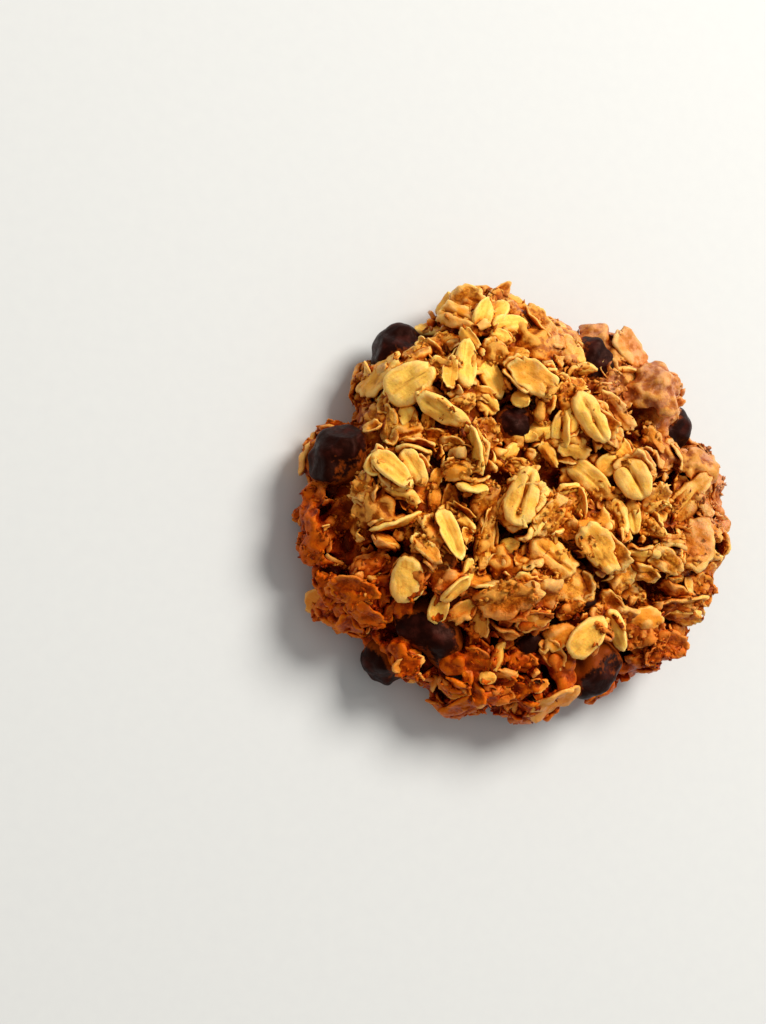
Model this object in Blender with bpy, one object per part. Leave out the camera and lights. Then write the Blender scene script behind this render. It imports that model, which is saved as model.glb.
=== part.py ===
"""An oatmeal cookie, about 66 mm across and 20 mm thick, lying on its flat base.

The dough is a low mound of spoonfuls pressed together. Rolled oat flakes stand all over it and are
one solid with it. The chocolate chips and chunks are pieces of their own, each in a pocket of the
dough. +X is the cookie's right and +Y its top, seen from above; the origin is under its middle, on
the surface that it rests on. Lengths are in millimetres until a mesh is made.
"""

import math
import random
from collections import namedtuple

import bmesh
import bpy
import numpy as np
from mathutils import Euler, Matrix, Vector

MM = 0.001

# The whole cookie
DISC_RADIUS = 27.5
DISC_TOP = 15.5
DISC_WIDEST_AT = 5.0
DISC_SQUARENESS = 3.2
BLEND = 0.9
HEART = np.array((0.0, 0.0, 6.5))
BELOW_TRAY = 1.5
BODY_POINTS = 1000
LARGEST_REACH = 45.0
HIGHEST = 24.0
TRAY_BLOCK = (120.0, 120.0, 20.0)

# Rolled oats: a swollen flake from end to end, across and through
OAT_LENGTH = (7.2, 9.6)
OAT_WIDTH_SHARE = (0.60, 0.74)
OAT_THICKNESS = 1.5
OAT_SIDES = 8
OAT_POINTEDNESS = 0.16
CREASE_DEPTH = 0.42
CREASE_REACH = 0.24
OAT_SPACING = 5.5
OAT_LIFT = 0.35
MOST_TILT_ON_FACE = 48.0
MOST_TILT_ON_WALL = 24.0
WALL_SINKING = 0.7
LOWEST_OAT = 1.8
SPOTS_TRIED = 5000
OAT_SEED = 11

# Chocolate
POCKET_GAP = 0.35
ROOM_ROUND_CHIP = 0.72
DENT_DEPTH = 0.05
CHOCOLATE_SEGMENTS = 12
CHOCOLATE_RINGS = 8

Clump = namedtuple("Clump", "x y radius top")
Oat = namedtuple("Oat", "x y z length width heading roll pitch")
Chip = namedtuple("Chip", "name x y z length width height heading roll squareness")

# Spoonfuls round the rim, which reach down to the tray
RIM_CLUMPS = (
    Clump(-6.0, 26.2, 5.6, 13.5),
    Clump(2.5, 24.2, 5.0, 13.0),
    Clump(13.6, 21.4, 5.6, 12.5),
    Clump(21.4, 15.6, 5.8, 15.0),
    Clump(27.8, 5.0, 5.4, 13.5),
    Clump(28.6, -3.6, 5.6, 14.0),
    Clump(26.0, -12.2, 5.4, 12.0),
    Clump(20.8, -19.0, 5.6, 12.0),
    Clump(12.4, -23.0, 5.0, 9.0),
    Clump(1.8, -26.8, 5.6, 12.5),
    Clump(-8.2, -25.8, 5.6, 12.0),
    Clump(-18.0, -21.8, 5.2, 11.0),
    Clump(-25.6, -14.6, 5.4, 12.5),
    Clump(-28.2, -4.8, 5.2, 13.0),
    Clump(-27.8, 5.2, 5.2, 12.5),
    Clump(-18.2, 17.6, 5.4, 13.0),
)

# Spoonfuls that bulge out of the top
TOP_CLUMPS = (
    Clump(-22.6, 1.0, 5.4, 17.0),
    Clump(-16.6, -9.6, 5.8, 18.0),
    Clump(-13.4, 14.6, 5.6, 18.0),
    Clump(-1.0, 16.0, 5.6, 18.5),
    Clump(8.6, 11.0, 5.6, 18.5),
    Clump(16.4, 3.0, 5.2, 18.0),
    Clump(9.6, -7.0, 5.4, 18.5),
    Clump(-2.0, -0.8, 5.6, 19.0),
    Clump(-2.6, -14.0, 6.0, 18.5),
    Clump(7.8, -20.0, 5.0, 16.0),
    Clump(20.4, -7.0, 5.2, 17.0),
    Clump(-11.0, 4.2, 5.2, 18.5),
    Clump(-8.4, 22.6, 4.8, 16.5),
)

# Flakes that stand out on the face. A flake with no z lies on the dough under it.
NAMED_OATS = {
    "centre_split": Oat(-2.8, -0.5, None, 9.0, 5.8, 75, 6, 0),
    "twin": Oat(-11.1, 18.6, None, 9.4, 7.8, 106, -6, 0),
    "upper": Oat(-1.0, 17.6, None, 8.6, 6.0, -32, -4, 4),
    "upper_left": Oat(-20.2, 16.4, None, 8.6, 5.8, 52, -24, 0),
    "double": Oat(5.8, 11.0, None, 9.4, 7.6, 108, 0, 4),
    "slope": Oat(7.6, 2.4, None, 8.2, 4.8, -38, 30, 0),
    "split_right": Oat(15.2, 3.0, None, 6.9, 6.0, 62, 4, 0),
    "right": Oat(24.4, 0.6, None, 9.6, 5.8, 50, -12, 0),
    "right_pale": Oat(25.8, -6.0, None, 9.2, 7.2, 150, -16, -14),
    "below_centre": Oat(9.2, -7.9, None, 8.6, 5.6, -55, 8, 0),
    "stack_under": Oat(2.6, -11.6, None, 9.8, 6.8, -28, 6, 6),
    "stack_over": Oat(0.9, -9.9, 19.3, 8.4, 5.4, -32, 4, 4),
    "low": Oat(5.8, -21.2, None, 9.0, 5.8, 36, -14, 0),
    "oval_left": Oat(-20.2, -13.0, None, 7.6, 4.9, 82, -18, 0),
    "sliver_low": Oat(12.4, -19.2, None, 6.8, 5.0, -68, 66, 0),
    "folded": Oat(-14.8, -7.4, None, 8.6, 5.6, -66, 16, 0),
    "point_left": Oat(-21.6, -5.6, None, 7.6, 4.8, 12, 52, 0),
    "sliver_up": Oat(-15.2, 11.2, None, 8.2, 5.0, -28, 52, 0),
    "sliver_left": Oat(-19.6, 5.8, None, 6.4, 4.6, 2, 68, 0),
    "brown_low": Oat(-4.6, -15.6, None, 10.2, 7.8, 18, 8, 0),
    "top_flower": Oat(-9.0, 26.2, None, 7.6, 6.4, 22, -24, 6),
    "top_flower_right": Oat(-3.2, 26.6, None, 7.0, 5.4, 42, -28, 0),
    "pale": Oat(5.6, 20.6, None, 6.8, 5.0, -46, 0, 0),
    "edge_top_left": Oat(-15.6, 23.0, None, 6.8, 4.6, -26, -46, 0),
    "flower_left": Oat(-23.4, 2.0, None, 7.8, 5.6, -36, -18, 0),
    "rim_pink": Oat(17.4, 23.6, 8.6, 8.2, 5.8, -46, -52, 0),
    "rim_sliver": Oat(32.6, 1.8, 9.0, 6.4, 5.4, 84, 66, 0),
    "rim_tip": Oat(-2.2, 31.4, 7.6, 7.4, 4.4, 62, 38, 24),
}

CHIPS = (
    Chip("chip_top_right", 10.8, 21.6, 11.6, 8.2, 7.0, 6.0, -32, 18, 2.2),
    Chip("chip_right", 24.9, 12.4, 8.8, 8.6, 7.6, 6.4, 24, 40, 2.2),
    Chip("chip_left", -29.0, 5.4, 8.4, 9.4, 8.2, 7.8, 60, -40, 2.6),
    Chip("chip_upper_left", -18.6, 21.8, 6.4, 8.6, 7.8, 8.6, 44, -30, 2.4),
    Chip("chip_centre", -3.6, 11.2, 14.6, 6.6, 5.6, 5.0, 10, 10, 3.0),
    Chip("chunk_low_left", -15.6, -19.4, 9.6, 11.4, 7.8, 6.6, -30, -22, 4.0),
    Chip("chip_bottom_right", 11.2, -25.0, 9.8, 10.2, 7.8, 7.2, 16, 24, 2.4),
    Chip("chip_low_left", -20.6, -24.0, 4.6, 7.6, 6.0, 6.2, -36, 0, 2.4),
    Chip("chip_far_side", 29.4, -9.4, 4.8, 7.4, 6.0, 6.0, 70, 30, 2.3),
)


def clear_scene():
    for obj in list(bpy.data.objects):
        bpy.data.objects.remove(obj, do_unlink=True)


# The mound of dough


def mound_distance(points):
    """How far each point lies outside the pressed spoonfuls, about, in mm."""
    across = np.hypot(points[:, 0], points[:, 1]) / DISC_RADIUS
    half_height = DISC_TOP - DISC_WIDEST_AT
    along = np.abs(points[:, 2] - DISC_WIDEST_AT) / half_height
    rounded = (across**DISC_SQUARENESS + along**DISC_SQUARENESS) ** (1 / DISC_SQUARENESS)
    distances = [(rounded - 1) * half_height]
    for clump in RIM_CLUMPS:
        half = (clump.top + BELOW_TRAY) / 2
        distances.append(ellipsoid_distance(points, clump, half, clump.top - half))
    for clump in TOP_CLUMPS:
        distances.append(ellipsoid_distance(points, clump, clump.radius, clump.top - clump.radius))
    blended = -BLEND * np.log(np.exp(-np.array(distances) / BLEND).sum(axis=0))
    return np.maximum(blended, -BELOW_TRAY - points[:, 2])


def ellipsoid_distance(points, clump, half_height, middle):
    scaled = np.stack(
        (
            (points[:, 0] - clump.x) / clump.radius,
            (points[:, 1] - clump.y) / clump.radius,
            (points[:, 2] - middle) / half_height,
        )
    )
    return (np.sqrt((scaled**2).sum(axis=0)) - 1) * clump.radius


def even_directions(count):
    """Directions on a golden spiral, closer together towards the cookie's thin rim."""
    index = np.arange(count) + 0.5
    height = 1 - 2 * index / count
    turn = index * math.pi * (3 - math.sqrt(5))
    ring = np.sqrt(1 - height**2)
    flat = np.stack((ring * np.cos(turn), ring * np.sin(turn), height), axis=1)
    stretched = flat * (1.0, 1.0, DISC_TOP / 2 / DISC_RADIUS)
    return flat, stretched / np.linalg.norm(stretched, axis=1)[:, None]


def reach(directions):
    """Where rays from the cookie's heart last leave the mound."""
    stride = 0.5
    low = np.zeros(len(directions))
    for step in np.arange(stride, LARGEST_REACH, stride):
        inside = mound_distance(HEART + directions * step) < 0
        low = np.where(inside, step, low)
    high = low + stride
    for _ in range(12):
        middle = (low + high) / 2
        inside = mound_distance(HEART + directions * middle[:, None]) < 0
        low = np.where(inside, middle, low)
        high = np.where(inside, high, middle)
    return HEART + directions * low[:, None]


def outward(points):
    """The mound's outward direction at each point."""
    small = 0.05
    slopes = [
        mound_distance(points + small * axis) - mound_distance(points - small * axis)
        for axis in np.eye(3)
    ]
    normals = np.stack(slopes, axis=1)
    return normals / np.linalg.norm(normals, axis=1)[:, None]


def height_at(x, y):
    """The top of the dough above a point of the tray."""
    heights = np.arange(0.0, HIGHEST, 0.1)
    column = np.stack((np.full_like(heights, x), np.full_like(heights, y), heights), axis=1)
    return float(heights[mound_distance(column) < 0].max())


def make_mound():
    flat, directions = even_directions(BODY_POINTS)
    bm = bmesh.new()
    for point in flat:
        bm.verts.new(point)
    bmesh.ops.convex_hull(bm, input=bm.verts)
    surface = reach(directions) * MM
    bm.verts.ensure_lookup_table()
    for vert, point in zip(bm.verts, surface):
        vert.co = point
    bmesh.ops.recalc_face_normals(bm, faces=bm.faces)
    return object_from(bm, "cookie")


# Rolled oats


def oat_mesh(length, width):
    """A low oval plate, thin at its rim, with a crease down the middle of its upper face."""
    bm = bmesh.new()
    half = OAT_THICKNESS / 2
    upper, lower = [], []
    for i in range(OAT_SIDES):
        turn = 2 * math.pi * i / OAT_SIDES
        pointed = 1 - OAT_POINTEDNESS * math.cos(turn)
        x = length / 2 * math.cos(turn)
        y = width / 2 * math.sin(turn) * pointed
        upper.append(bm.verts.new((x * 0.93, y * 0.9, half * 0.55)))
        lower.append(bm.verts.new((x, y, -half * 0.45)))
    ends = (CREASE_REACH * length, -CREASE_REACH * length)
    crease = [bm.verts.new((x, 0, half - CREASE_DEPTH)) for x in ends]
    for i in range(OAT_SIDES):
        j = (i + 1) % OAT_SIDES
        bm.faces.new((lower[i], lower[j], upper[j], upper[i]))
        middle = (upper[i].co.x + upper[j].co.x) / 2
        near = crease[0] if middle > 0 else crease[1]
        far = crease[1] if middle > 0 else crease[0]
        bm.faces.new((upper[i], upper[j], near))
        after = (upper[j].co.x + upper[(j + 1) % OAT_SIDES].co.x) / 2
        if (after > 0) != (middle > 0):
            bm.faces.new((upper[j], far, near))
    bm.faces.new(list(reversed(lower)))
    bmesh.ops.recalc_face_normals(bm, faces=bm.faces)
    bm.transform(Matrix.Scale(MM, 4))
    return bm


def place(obj, position, rotation):
    obj.matrix_world = Matrix.Translation(Vector(position) * MM) @ rotation.to_4x4()


def named_oats():
    made = []
    for name, oat in NAMED_OATS.items():
        obj = object_from(oat_mesh(oat.length, oat.width), "oat_" + name)
        z = height_at(oat.x, oat.y) + OAT_LIFT if oat.z is None else oat.z
        turn = Euler([math.radians(a) for a in (oat.roll, -oat.pitch, 0)]).to_matrix()
        turn = Matrix.Rotation(math.radians(oat.heading), 3, "Z") @ turn
        place(obj, (oat.x, oat.y, z), turn)
        made.append(obj)
    return made


def scattered_places(taken):
    """Points on the dough at least one spacing apart and clear of the points in taken."""
    rng = random.Random(OAT_SEED)
    directions = even_directions(SPOTS_TRIED)[1]
    points = reach(directions)
    normals = outward(points)
    order = list(range(len(points)))
    rng.shuffle(order)
    places = []
    for i in order:
        point = points[i]
        if point[2] < LOWEST_OAT or any(np.linalg.norm(point - at) < room for at, room in taken):
            continue
        if all(np.linalg.norm(point - other[0]) > OAT_SPACING for other in places):
            places.append((point, normals[i]))
    return places


def scattered_oats(taken):
    rng = random.Random(OAT_SEED + 1)
    made = []
    for number, (point, normal) in enumerate(scattered_places(taken)):
        length = rng.uniform(*OAT_LENGTH)
        obj = object_from(oat_mesh(length, length * rng.uniform(*OAT_WIDTH_SHARE)), f"oat_{number:03d}")
        facing = Vector(normal).to_track_quat("Z", "X").to_matrix()
        wall = 1 - max(normal[2], 0)
        most_tilt = MOST_TILT_ON_FACE + (MOST_TILT_ON_WALL - MOST_TILT_ON_FACE) * wall
        tilt = math.radians(rng.uniform(0, most_tilt))
        turn = Matrix.Rotation(rng.uniform(0, 2 * math.pi), 3, "Z")
        lean = Matrix.Rotation(tilt, 3, "Y") @ Matrix.Rotation(rng.uniform(0, 2 * math.pi), 3, "Z")
        proud = rng.uniform(-OAT_LIFT, OAT_LIFT) - WALL_SINKING * wall
        place(obj, point + normal * proud, facing @ turn @ lean)
        made.append(obj)
    return made


# Chocolate


def chocolate(chip, grow=0.0):
    """A rounded block, squarer for a chunk than for a chip. grow adds to it all round."""
    bm = bmesh.new()
    bmesh.ops.create_uvsphere(bm, u_segments=CHOCOLATE_SEGMENTS, v_segments=CHOCOLATE_RINGS, radius=1)
    halves = [side / 2 + grow for side in (chip.length, chip.width, chip.height)]
    power = chip.squareness
    for vert in bm.verts:
        size = sum(abs(c) ** power for c in vert.co) ** (1 / power)
        unit = vert.co / size
        dent = 1 + DENT_DEPTH * math.sin(5 * unit.x + 3 * unit.y) * math.cos(4 * unit.z + 2 * unit.x)
        vert.co = Vector(c * half for c, half in zip(unit, halves)) * dent
    bmesh.ops.triangulate(bm, faces=bm.faces)
    bmesh.ops.recalc_face_normals(bm, faces=bm.faces)
    bm.transform(Matrix.Scale(MM, 4))
    obj = object_from(bm, chip.name if grow == 0 else "pocket_" + chip.name)
    turn = Matrix.Rotation(math.radians(chip.heading), 3, "Z")
    turn = turn @ Matrix.Rotation(math.radians(chip.roll), 3, "X")
    place(obj, (chip.x, chip.y, chip.z), turn)
    return obj


# Joining and cutting


def object_from(bm, name):
    mesh = bpy.data.meshes.new(name)
    bm.to_mesh(mesh)
    bm.free()
    obj = bpy.data.objects.new(name, mesh)
    bpy.context.scene.collection.objects.link(obj)
    return obj


def boolean(target, others, operation):
    """Joins others to target or cuts them from it, then removes them."""
    group = bpy.data.collections.new(operation.lower())
    for obj in others:
        group.objects.link(obj)
        bpy.context.scene.collection.objects.unlink(obj)
    bpy.context.scene.collection.children.link(group)
    modifier = target.modifiers.new(operation.lower(), "BOOLEAN")
    modifier.operand_type = "COLLECTION"
    modifier.collection = group
    modifier.operation = operation
    modifier.solver = "MANIFOLD"
    bpy.context.view_layer.update()
    graph = bpy.context.evaluated_depsgraph_get()
    made = bpy.data.meshes.new_from_object(target.evaluated_get(graph))
    target.modifiers.clear()
    target.data = made
    for obj in others:
        bpy.data.objects.remove(obj, do_unlink=True)
    bpy.data.collections.remove(group)


def keep_largest_body(obj):
    """Drops loose scraps, and fills hollows that joining has sealed."""
    bm = bmesh.new()
    bm.from_mesh(obj.data)
    unseen = set(bm.verts)
    bodies = []
    while unseen:
        body, edge_of_search = set(), [unseen.pop()]
        while edge_of_search:
            vert = edge_of_search.pop()
            body.add(vert)
            for edge in vert.link_edges:
                other = edge.other_vert(vert)
                if other in unseen:
                    unseen.remove(other)
                    edge_of_search.append(other)
        bodies.append(body)
    bodies.sort(key=len)
    scraps = [vert for body in bodies[:-1] for vert in body]
    bmesh.ops.delete(bm, geom=scraps, context="VERTS")
    bm.to_mesh(obj.data)
    bm.free()


def tray_block():
    """Everything below the tray's surface, which the flat base is cut by."""
    bm = bmesh.new()
    size = Vector(TRAY_BLOCK) * MM
    bmesh.ops.create_cube(bm, size=1.0)
    bm.transform(Matrix.Diagonal((*size, 1.0)))
    bm.transform(Matrix.Translation((0, 0, -size.z / 2)))
    return object_from(bm, "tray_block")


def material(name, colour, roughness):
    made = bpy.data.materials.new(name)
    made.use_nodes = True
    shader = made.node_tree.nodes["Principled BSDF"]
    shader.inputs["Base Color"].default_value = (*colour, 1.0)
    shader.inputs["Roughness"].default_value = roughness
    shader.inputs["Metallic"].default_value = 0.0
    return made


def main():
    clear_scene()
    cookie = make_mound()
    taken = [(np.array((c.x, c.y, c.z)), max(c.length, c.width) * ROOM_ROUND_CHIP) for c in CHIPS]
    for oat in NAMED_OATS.values():
        z = height_at(oat.x, oat.y) if oat.z is None else oat.z
        taken.append((np.array((oat.x, oat.y, z)), OAT_SPACING))
    boolean(cookie, named_oats() + scattered_oats(taken), "UNION")
    pockets = [chocolate(chip, POCKET_GAP) for chip in CHIPS]
    boolean(cookie, pockets + [tray_block()], "DIFFERENCE")
    keep_largest_body(cookie)
    cookie.data.materials.clear()
    cookie.data.materials.append(material("baked_oat_dough", (0.42, 0.17, 0.04), 0.7))
    dark_chocolate = material("dark_chocolate", (0.035, 0.012, 0.008), 0.4)
    for chip in CHIPS:
        obj = chocolate(chip)
        obj.data.materials.append(dark_chocolate)
        obj.data.shade_smooth()


main()
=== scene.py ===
# %% [markdown]
# # An oatmeal cookie with dark chocolate
#
# This lesson dresses a solid cookie for a photograph: whole rolled oats stuck together with sticky
# brown dough, with dark chocolate chips baked in. The solid already has the true size and the place
# of every large flake. We keep those, and make the fine surface: the dough's skin with its pits and
# crumbs, some hundreds of creased flakes, and the chocolate.

# %% Load the solid cookie
import math
import random
from collections import namedtuple

import bmesh
import bpy
import numpy as np
from mathutils import Matrix, Vector
from mathutils.bvhtree import BVHTree


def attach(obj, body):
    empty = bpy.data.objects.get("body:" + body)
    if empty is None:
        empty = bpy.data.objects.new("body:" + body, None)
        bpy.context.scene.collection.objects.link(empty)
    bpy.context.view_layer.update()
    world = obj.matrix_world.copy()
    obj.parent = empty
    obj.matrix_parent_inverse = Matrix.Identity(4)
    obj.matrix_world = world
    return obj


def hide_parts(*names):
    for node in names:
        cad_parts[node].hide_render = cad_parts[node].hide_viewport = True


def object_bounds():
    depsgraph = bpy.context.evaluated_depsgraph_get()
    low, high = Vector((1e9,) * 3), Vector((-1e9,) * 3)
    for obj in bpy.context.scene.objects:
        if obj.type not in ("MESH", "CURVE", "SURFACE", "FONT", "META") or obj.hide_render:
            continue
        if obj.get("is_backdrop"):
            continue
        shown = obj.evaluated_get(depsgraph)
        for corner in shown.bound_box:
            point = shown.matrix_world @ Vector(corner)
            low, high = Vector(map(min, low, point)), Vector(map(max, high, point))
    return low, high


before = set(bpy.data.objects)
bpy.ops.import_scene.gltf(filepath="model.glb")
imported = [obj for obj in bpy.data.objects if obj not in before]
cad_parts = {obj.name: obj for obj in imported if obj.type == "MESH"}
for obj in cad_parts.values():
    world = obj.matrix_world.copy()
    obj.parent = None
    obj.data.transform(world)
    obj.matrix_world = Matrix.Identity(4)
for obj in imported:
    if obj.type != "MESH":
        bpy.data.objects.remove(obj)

MM = 0.001
cad_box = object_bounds()
lowest, highest = np.array(cad_box) / MM
print("The cookie is", (highest - lowest).round(1), "mm")

# %% [markdown]
# ## Three helpers
#
# Shapes are worked out as numpy arrays in millimetres, because a flake of 8 is easier to think about
# than one of 0.008. `piece` turns the arrays into a Blender object in metres. `linear` reads a colour
# as a web colour and gives the linear values that the renderer adds up light with. `add` puts one
# node in a material, with its settings, its values and its links. It takes a web colour as well.

# %% Helpers for meshes and materials


def piece(name, points, faces, values, node):
    """A smooth-shaded object from points in mm, with a number or vector for each point."""
    mesh = bpy.data.meshes.new(name)
    mesh.from_pydata((points * MM).tolist(), [], faces.tolist())
    for key, numbers in values.items():
        vector = numbers.ndim == 2
        attribute = mesh.attributes.new(key, "FLOAT_VECTOR" if vector else "FLOAT", "POINT")
        attribute.data.foreach_set("vector" if vector else "value", numbers.astype(np.float32).ravel())
    mesh.shade_smooth()
    obj = bpy.data.objects.new(name, mesh)
    bpy.context.scene.collection.objects.link(obj)
    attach(obj, "root")
    if node:
        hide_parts(node)
    return obj


def linear(web_colour):
    channels = [int(web_colour[i : i + 2], 16) / 255 for i in (1, 3, 5)]
    return (*[c / 12.92 if c <= 0.04045 else ((c + 0.055) / 1.055) ** 2.4 for c in channels], 1.0)


def add(material, kind, inputs=None, **settings):
    """Adds a node. inputs are values, web colours or sockets, by name or number."""
    tree = material.node_tree
    node = tree.nodes.new(kind)
    for key, value in settings.items():
        setattr(node, key, value)
    for key, value in (inputs or {}).items():
        if isinstance(value, bpy.types.NodeSocket):
            tree.links.new(value, node.inputs[key])
        else:
            node.inputs[key].default_value = linear(value) if isinstance(value, str) else value
    return node


# %% [markdown]
# ## Smooth random lumps
#
# Baked dough has no straight lines, so nearly every shape below is pushed in and out by a smooth
# random field. Blender's Noise and Displace tools could do it, but the sum of a few sine waves in
# random directions is a short formula that works on a whole array at once and is the same each run.
# Folded over at zero it gives sharp ridges, as on torn dough.

# %% Random fields


def lumps(points, size, seed):
    """Hills and hollows some size across, in mm, about -1 to 1 high."""
    rng = np.random.default_rng(seed)
    waves = 16
    directions = rng.normal(size=(waves, 3))
    directions /= np.linalg.norm(directions, axis=1)[:, None]
    directions /= size * rng.uniform(1.4, 3.0, waves)[:, None]
    phases = rng.uniform(0, 2 * math.pi, waves)
    return np.sin(2 * math.pi * points @ directions.T + phases).sum(axis=1) / math.sqrt(waves)


def ridges(points, size, seed):
    return 0.6 - 1.6 * np.abs(lumps(points, size * 1.6, seed))


def smooth_step(values, start, end):
    share = np.clip((values - start) / (end - start), 0, 1)
    return share * share * (3 - 2 * share)


def unit(vectors):
    return vectors / np.maximum(np.linalg.norm(vectors, axis=-1, keepdims=True), 1e-9)


# %% [markdown]
# ## The mound of dough
#
# A scooped cookie is a heap of spoonfuls that sink into each other and spread a little on the tray.
# The solid was made as a flat disc and some thirty rounded clumps, blended by a soft minimum. We
# repeat that formula here, because it tells us two useful things at any point: how far the point
# lies above the dough, and which way is out.

# %% The spoonfuls and the blend
DISC_RADIUS = 27.5
DISC_TOP = 15.5
DISC_WIDEST_AT = 5.0
DISC_SQUARENESS = 3.2
BLEND = 0.9
HEART = np.array((0.0, 0.0, 6.5))
BELOW_TRAY = 1.5
LARGEST_REACH = 45.0
HIGHEST = 24.0

Clump = namedtuple("Clump", "x y radius top")

RIM_CLUMPS = (
    Clump(-6.0, 26.2, 5.6, 13.5),
    Clump(2.5, 24.2, 5.0, 13.0),
    Clump(13.6, 21.4, 5.6, 12.5),
    Clump(21.4, 15.6, 5.8, 15.0),
    Clump(27.8, 5.0, 5.4, 13.5),
    Clump(28.6, -3.6, 5.6, 14.0),
    Clump(26.0, -12.2, 5.4, 12.0),
    Clump(20.8, -19.0, 5.6, 12.0),
    Clump(12.4, -23.0, 5.0, 9.0),
    Clump(1.8, -26.8, 5.6, 12.5),
    Clump(-8.2, -25.8, 5.6, 12.0),
    Clump(-18.0, -21.8, 5.2, 11.0),
    Clump(-25.6, -14.6, 5.4, 12.5),
    Clump(-28.2, -4.8, 5.2, 13.0),
    Clump(-27.8, 5.2, 5.2, 12.5),
    Clump(-18.2, 17.6, 5.4, 13.0),
)

TOP_CLUMPS = (
    Clump(-22.6, 1.0, 5.4, 17.0),
    Clump(-16.6, -9.6, 5.8, 18.0),
    Clump(-13.4, 14.6, 5.6, 18.0),
    Clump(-1.0, 16.0, 5.6, 18.5),
    Clump(8.6, 11.0, 5.6, 18.5),
    Clump(16.4, 3.0, 5.2, 18.0),
    Clump(9.6, -7.0, 5.4, 18.5),
    Clump(-2.0, -0.8, 5.6, 19.0),
    Clump(-2.6, -14.0, 6.0, 18.5),
    Clump(7.8, -20.0, 5.0, 16.0),
    Clump(20.4, -7.0, 5.2, 17.0),
    Clump(-11.0, 4.2, 5.2, 18.5),
    Clump(-8.4, 22.6, 4.8, 16.5),
)


def ellipsoid_distance(points, clump, half_height, middle):
    scaled = np.stack(
        (
            (points[:, 0] - clump.x) / clump.radius,
            (points[:, 1] - clump.y) / clump.radius,
            (points[:, 2] - middle) / half_height,
        )
    )
    return (np.sqrt((scaled**2).sum(axis=0)) - 1) * clump.radius


def mound_distance(points):
    """How far each point lies outside the pressed spoonfuls, about, in mm."""
    across = np.hypot(points[:, 0], points[:, 1]) / DISC_RADIUS
    half_height = DISC_TOP - DISC_WIDEST_AT
    along = np.abs(points[:, 2] - DISC_WIDEST_AT) / half_height
    rounded = (across**DISC_SQUARENESS + along**DISC_SQUARENESS) ** (1 / DISC_SQUARENESS)
    distances = [(rounded - 1) * half_height]
    for clump in RIM_CLUMPS:
        half = (clump.top + BELOW_TRAY) / 2
        distances.append(ellipsoid_distance(points, clump, half, clump.top - half))
    for clump in TOP_CLUMPS:
        distances.append(ellipsoid_distance(points, clump, clump.radius, clump.top - clump.radius))
    blended = -BLEND * np.log(np.exp(-np.array(distances) / BLEND).sum(axis=0))
    return np.maximum(blended, -BELOW_TRAY - points[:, 2])


# %% [markdown]
# To put something on the mound, three questions have to be answered: where does a ray from the
# cookie's heart leave the dough, which way does the surface face there, and how high is the dough
# above a point of the tray? Halving an interval finds the surface to a hundredth of a millimetre.

# %% Finding the surface


def even_directions(count):
    """Directions on a golden spiral, closer together towards the cookie's thin rim."""
    index = np.arange(count) + 0.5
    height = 1 - 2 * index / count
    turn = index * math.pi * (3 - math.sqrt(5))
    circle = np.sqrt(1 - height**2)
    flat = np.stack((circle * np.cos(turn), circle * np.sin(turn), height), axis=1)
    return unit(flat * (1.0, 1.0, DISC_TOP / 2 / DISC_RADIUS))


def reach(directions):
    """Where rays from the cookie's heart last leave the mound."""
    stride = 0.5
    low = np.zeros(len(directions))
    for step in np.arange(stride, LARGEST_REACH, stride):
        inside = mound_distance(HEART + directions * step) < 0
        low = np.where(inside, step, low)
    high = low + stride
    for _ in range(12):
        middle = (low + high) / 2
        inside = mound_distance(HEART + directions * middle[:, None]) < 0
        low = np.where(inside, middle, low)
        high = np.where(inside, high, middle)
    return HEART + directions * low[:, None]


def outward(points):
    """The mound's outward direction at each point."""
    small = 0.05
    slopes = [
        mound_distance(points + small * axis) - mound_distance(points - small * axis)
        for axis in np.eye(3)
    ]
    return unit(np.stack(slopes, axis=1))


def height_at(x, y):
    """The top of the dough above a point of the tray."""
    heights = np.arange(0.0, HIGHEST, 0.1)
    column = np.stack((np.full_like(heights, x), np.full_like(heights, y), heights), axis=1)
    return float(heights[mound_distance(column) < 0].max())


print("The dough is", round(height_at(0, 0), 1), "mm high in the middle")

# %% [markdown]
# ## Where the camera stands
#
# The photograph looks nearly straight at the cookie's face, from 22 degrees towards its left, so
# that some of the left side wall shows. The camera is made now, because the flakes that stand out
# are given by their place in the picture, and a line from the camera finds where each one lies.

# %% The camera
TILT = math.radians(22)
TOWARDS = math.radians(200)
PICTURE = (766, 1024)
PIXELS_PER_MM = 6.6
LENS = 85.0
SENSOR = 36.0
COOKIE_CENTRE = (521, 502)
MIDDLE_HEIGHT = 9.0
RAY_SEARCHED = (330.0, 385.0)

leaning = math.sin(TILT)
to_camera = np.array((leaning * math.cos(TOWARDS), leaning * math.sin(TOWARDS), math.cos(TILT)))
picture_right = unit(np.cross((0.0, 1.0, 0.0), to_camera))
picture_up = np.cross(to_camera, picture_right)
focal_pixels = LENS / SENSOR * PICTURE[1]
aside = (COOKIE_CENTRE[0] - PICTURE[0] / 2) / PIXELS_PER_MM
above = (PICTURE[1] / 2 - COOKIE_CENTRE[1]) / PIXELS_PER_MM
eye = np.array((0.0, 0.0, MIDDLE_HEIGHT)) + to_camera * focal_pixels / PIXELS_PER_MM
eye -= picture_right * aside + picture_up * above

camera = bpy.data.objects.new("camera", bpy.data.cameras.new("camera"))
camera.data.lens = LENS
camera.data.sensor_width = SENSOR
camera.data.clip_start = 0.01
axes = Matrix((picture_right, picture_up, to_camera)).transposed()
camera.matrix_world = Matrix.Translation(Vector(eye) * MM) @ axes.to_4x4()
bpy.context.scene.collection.objects.link(camera)
bpy.context.scene.camera = camera


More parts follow.
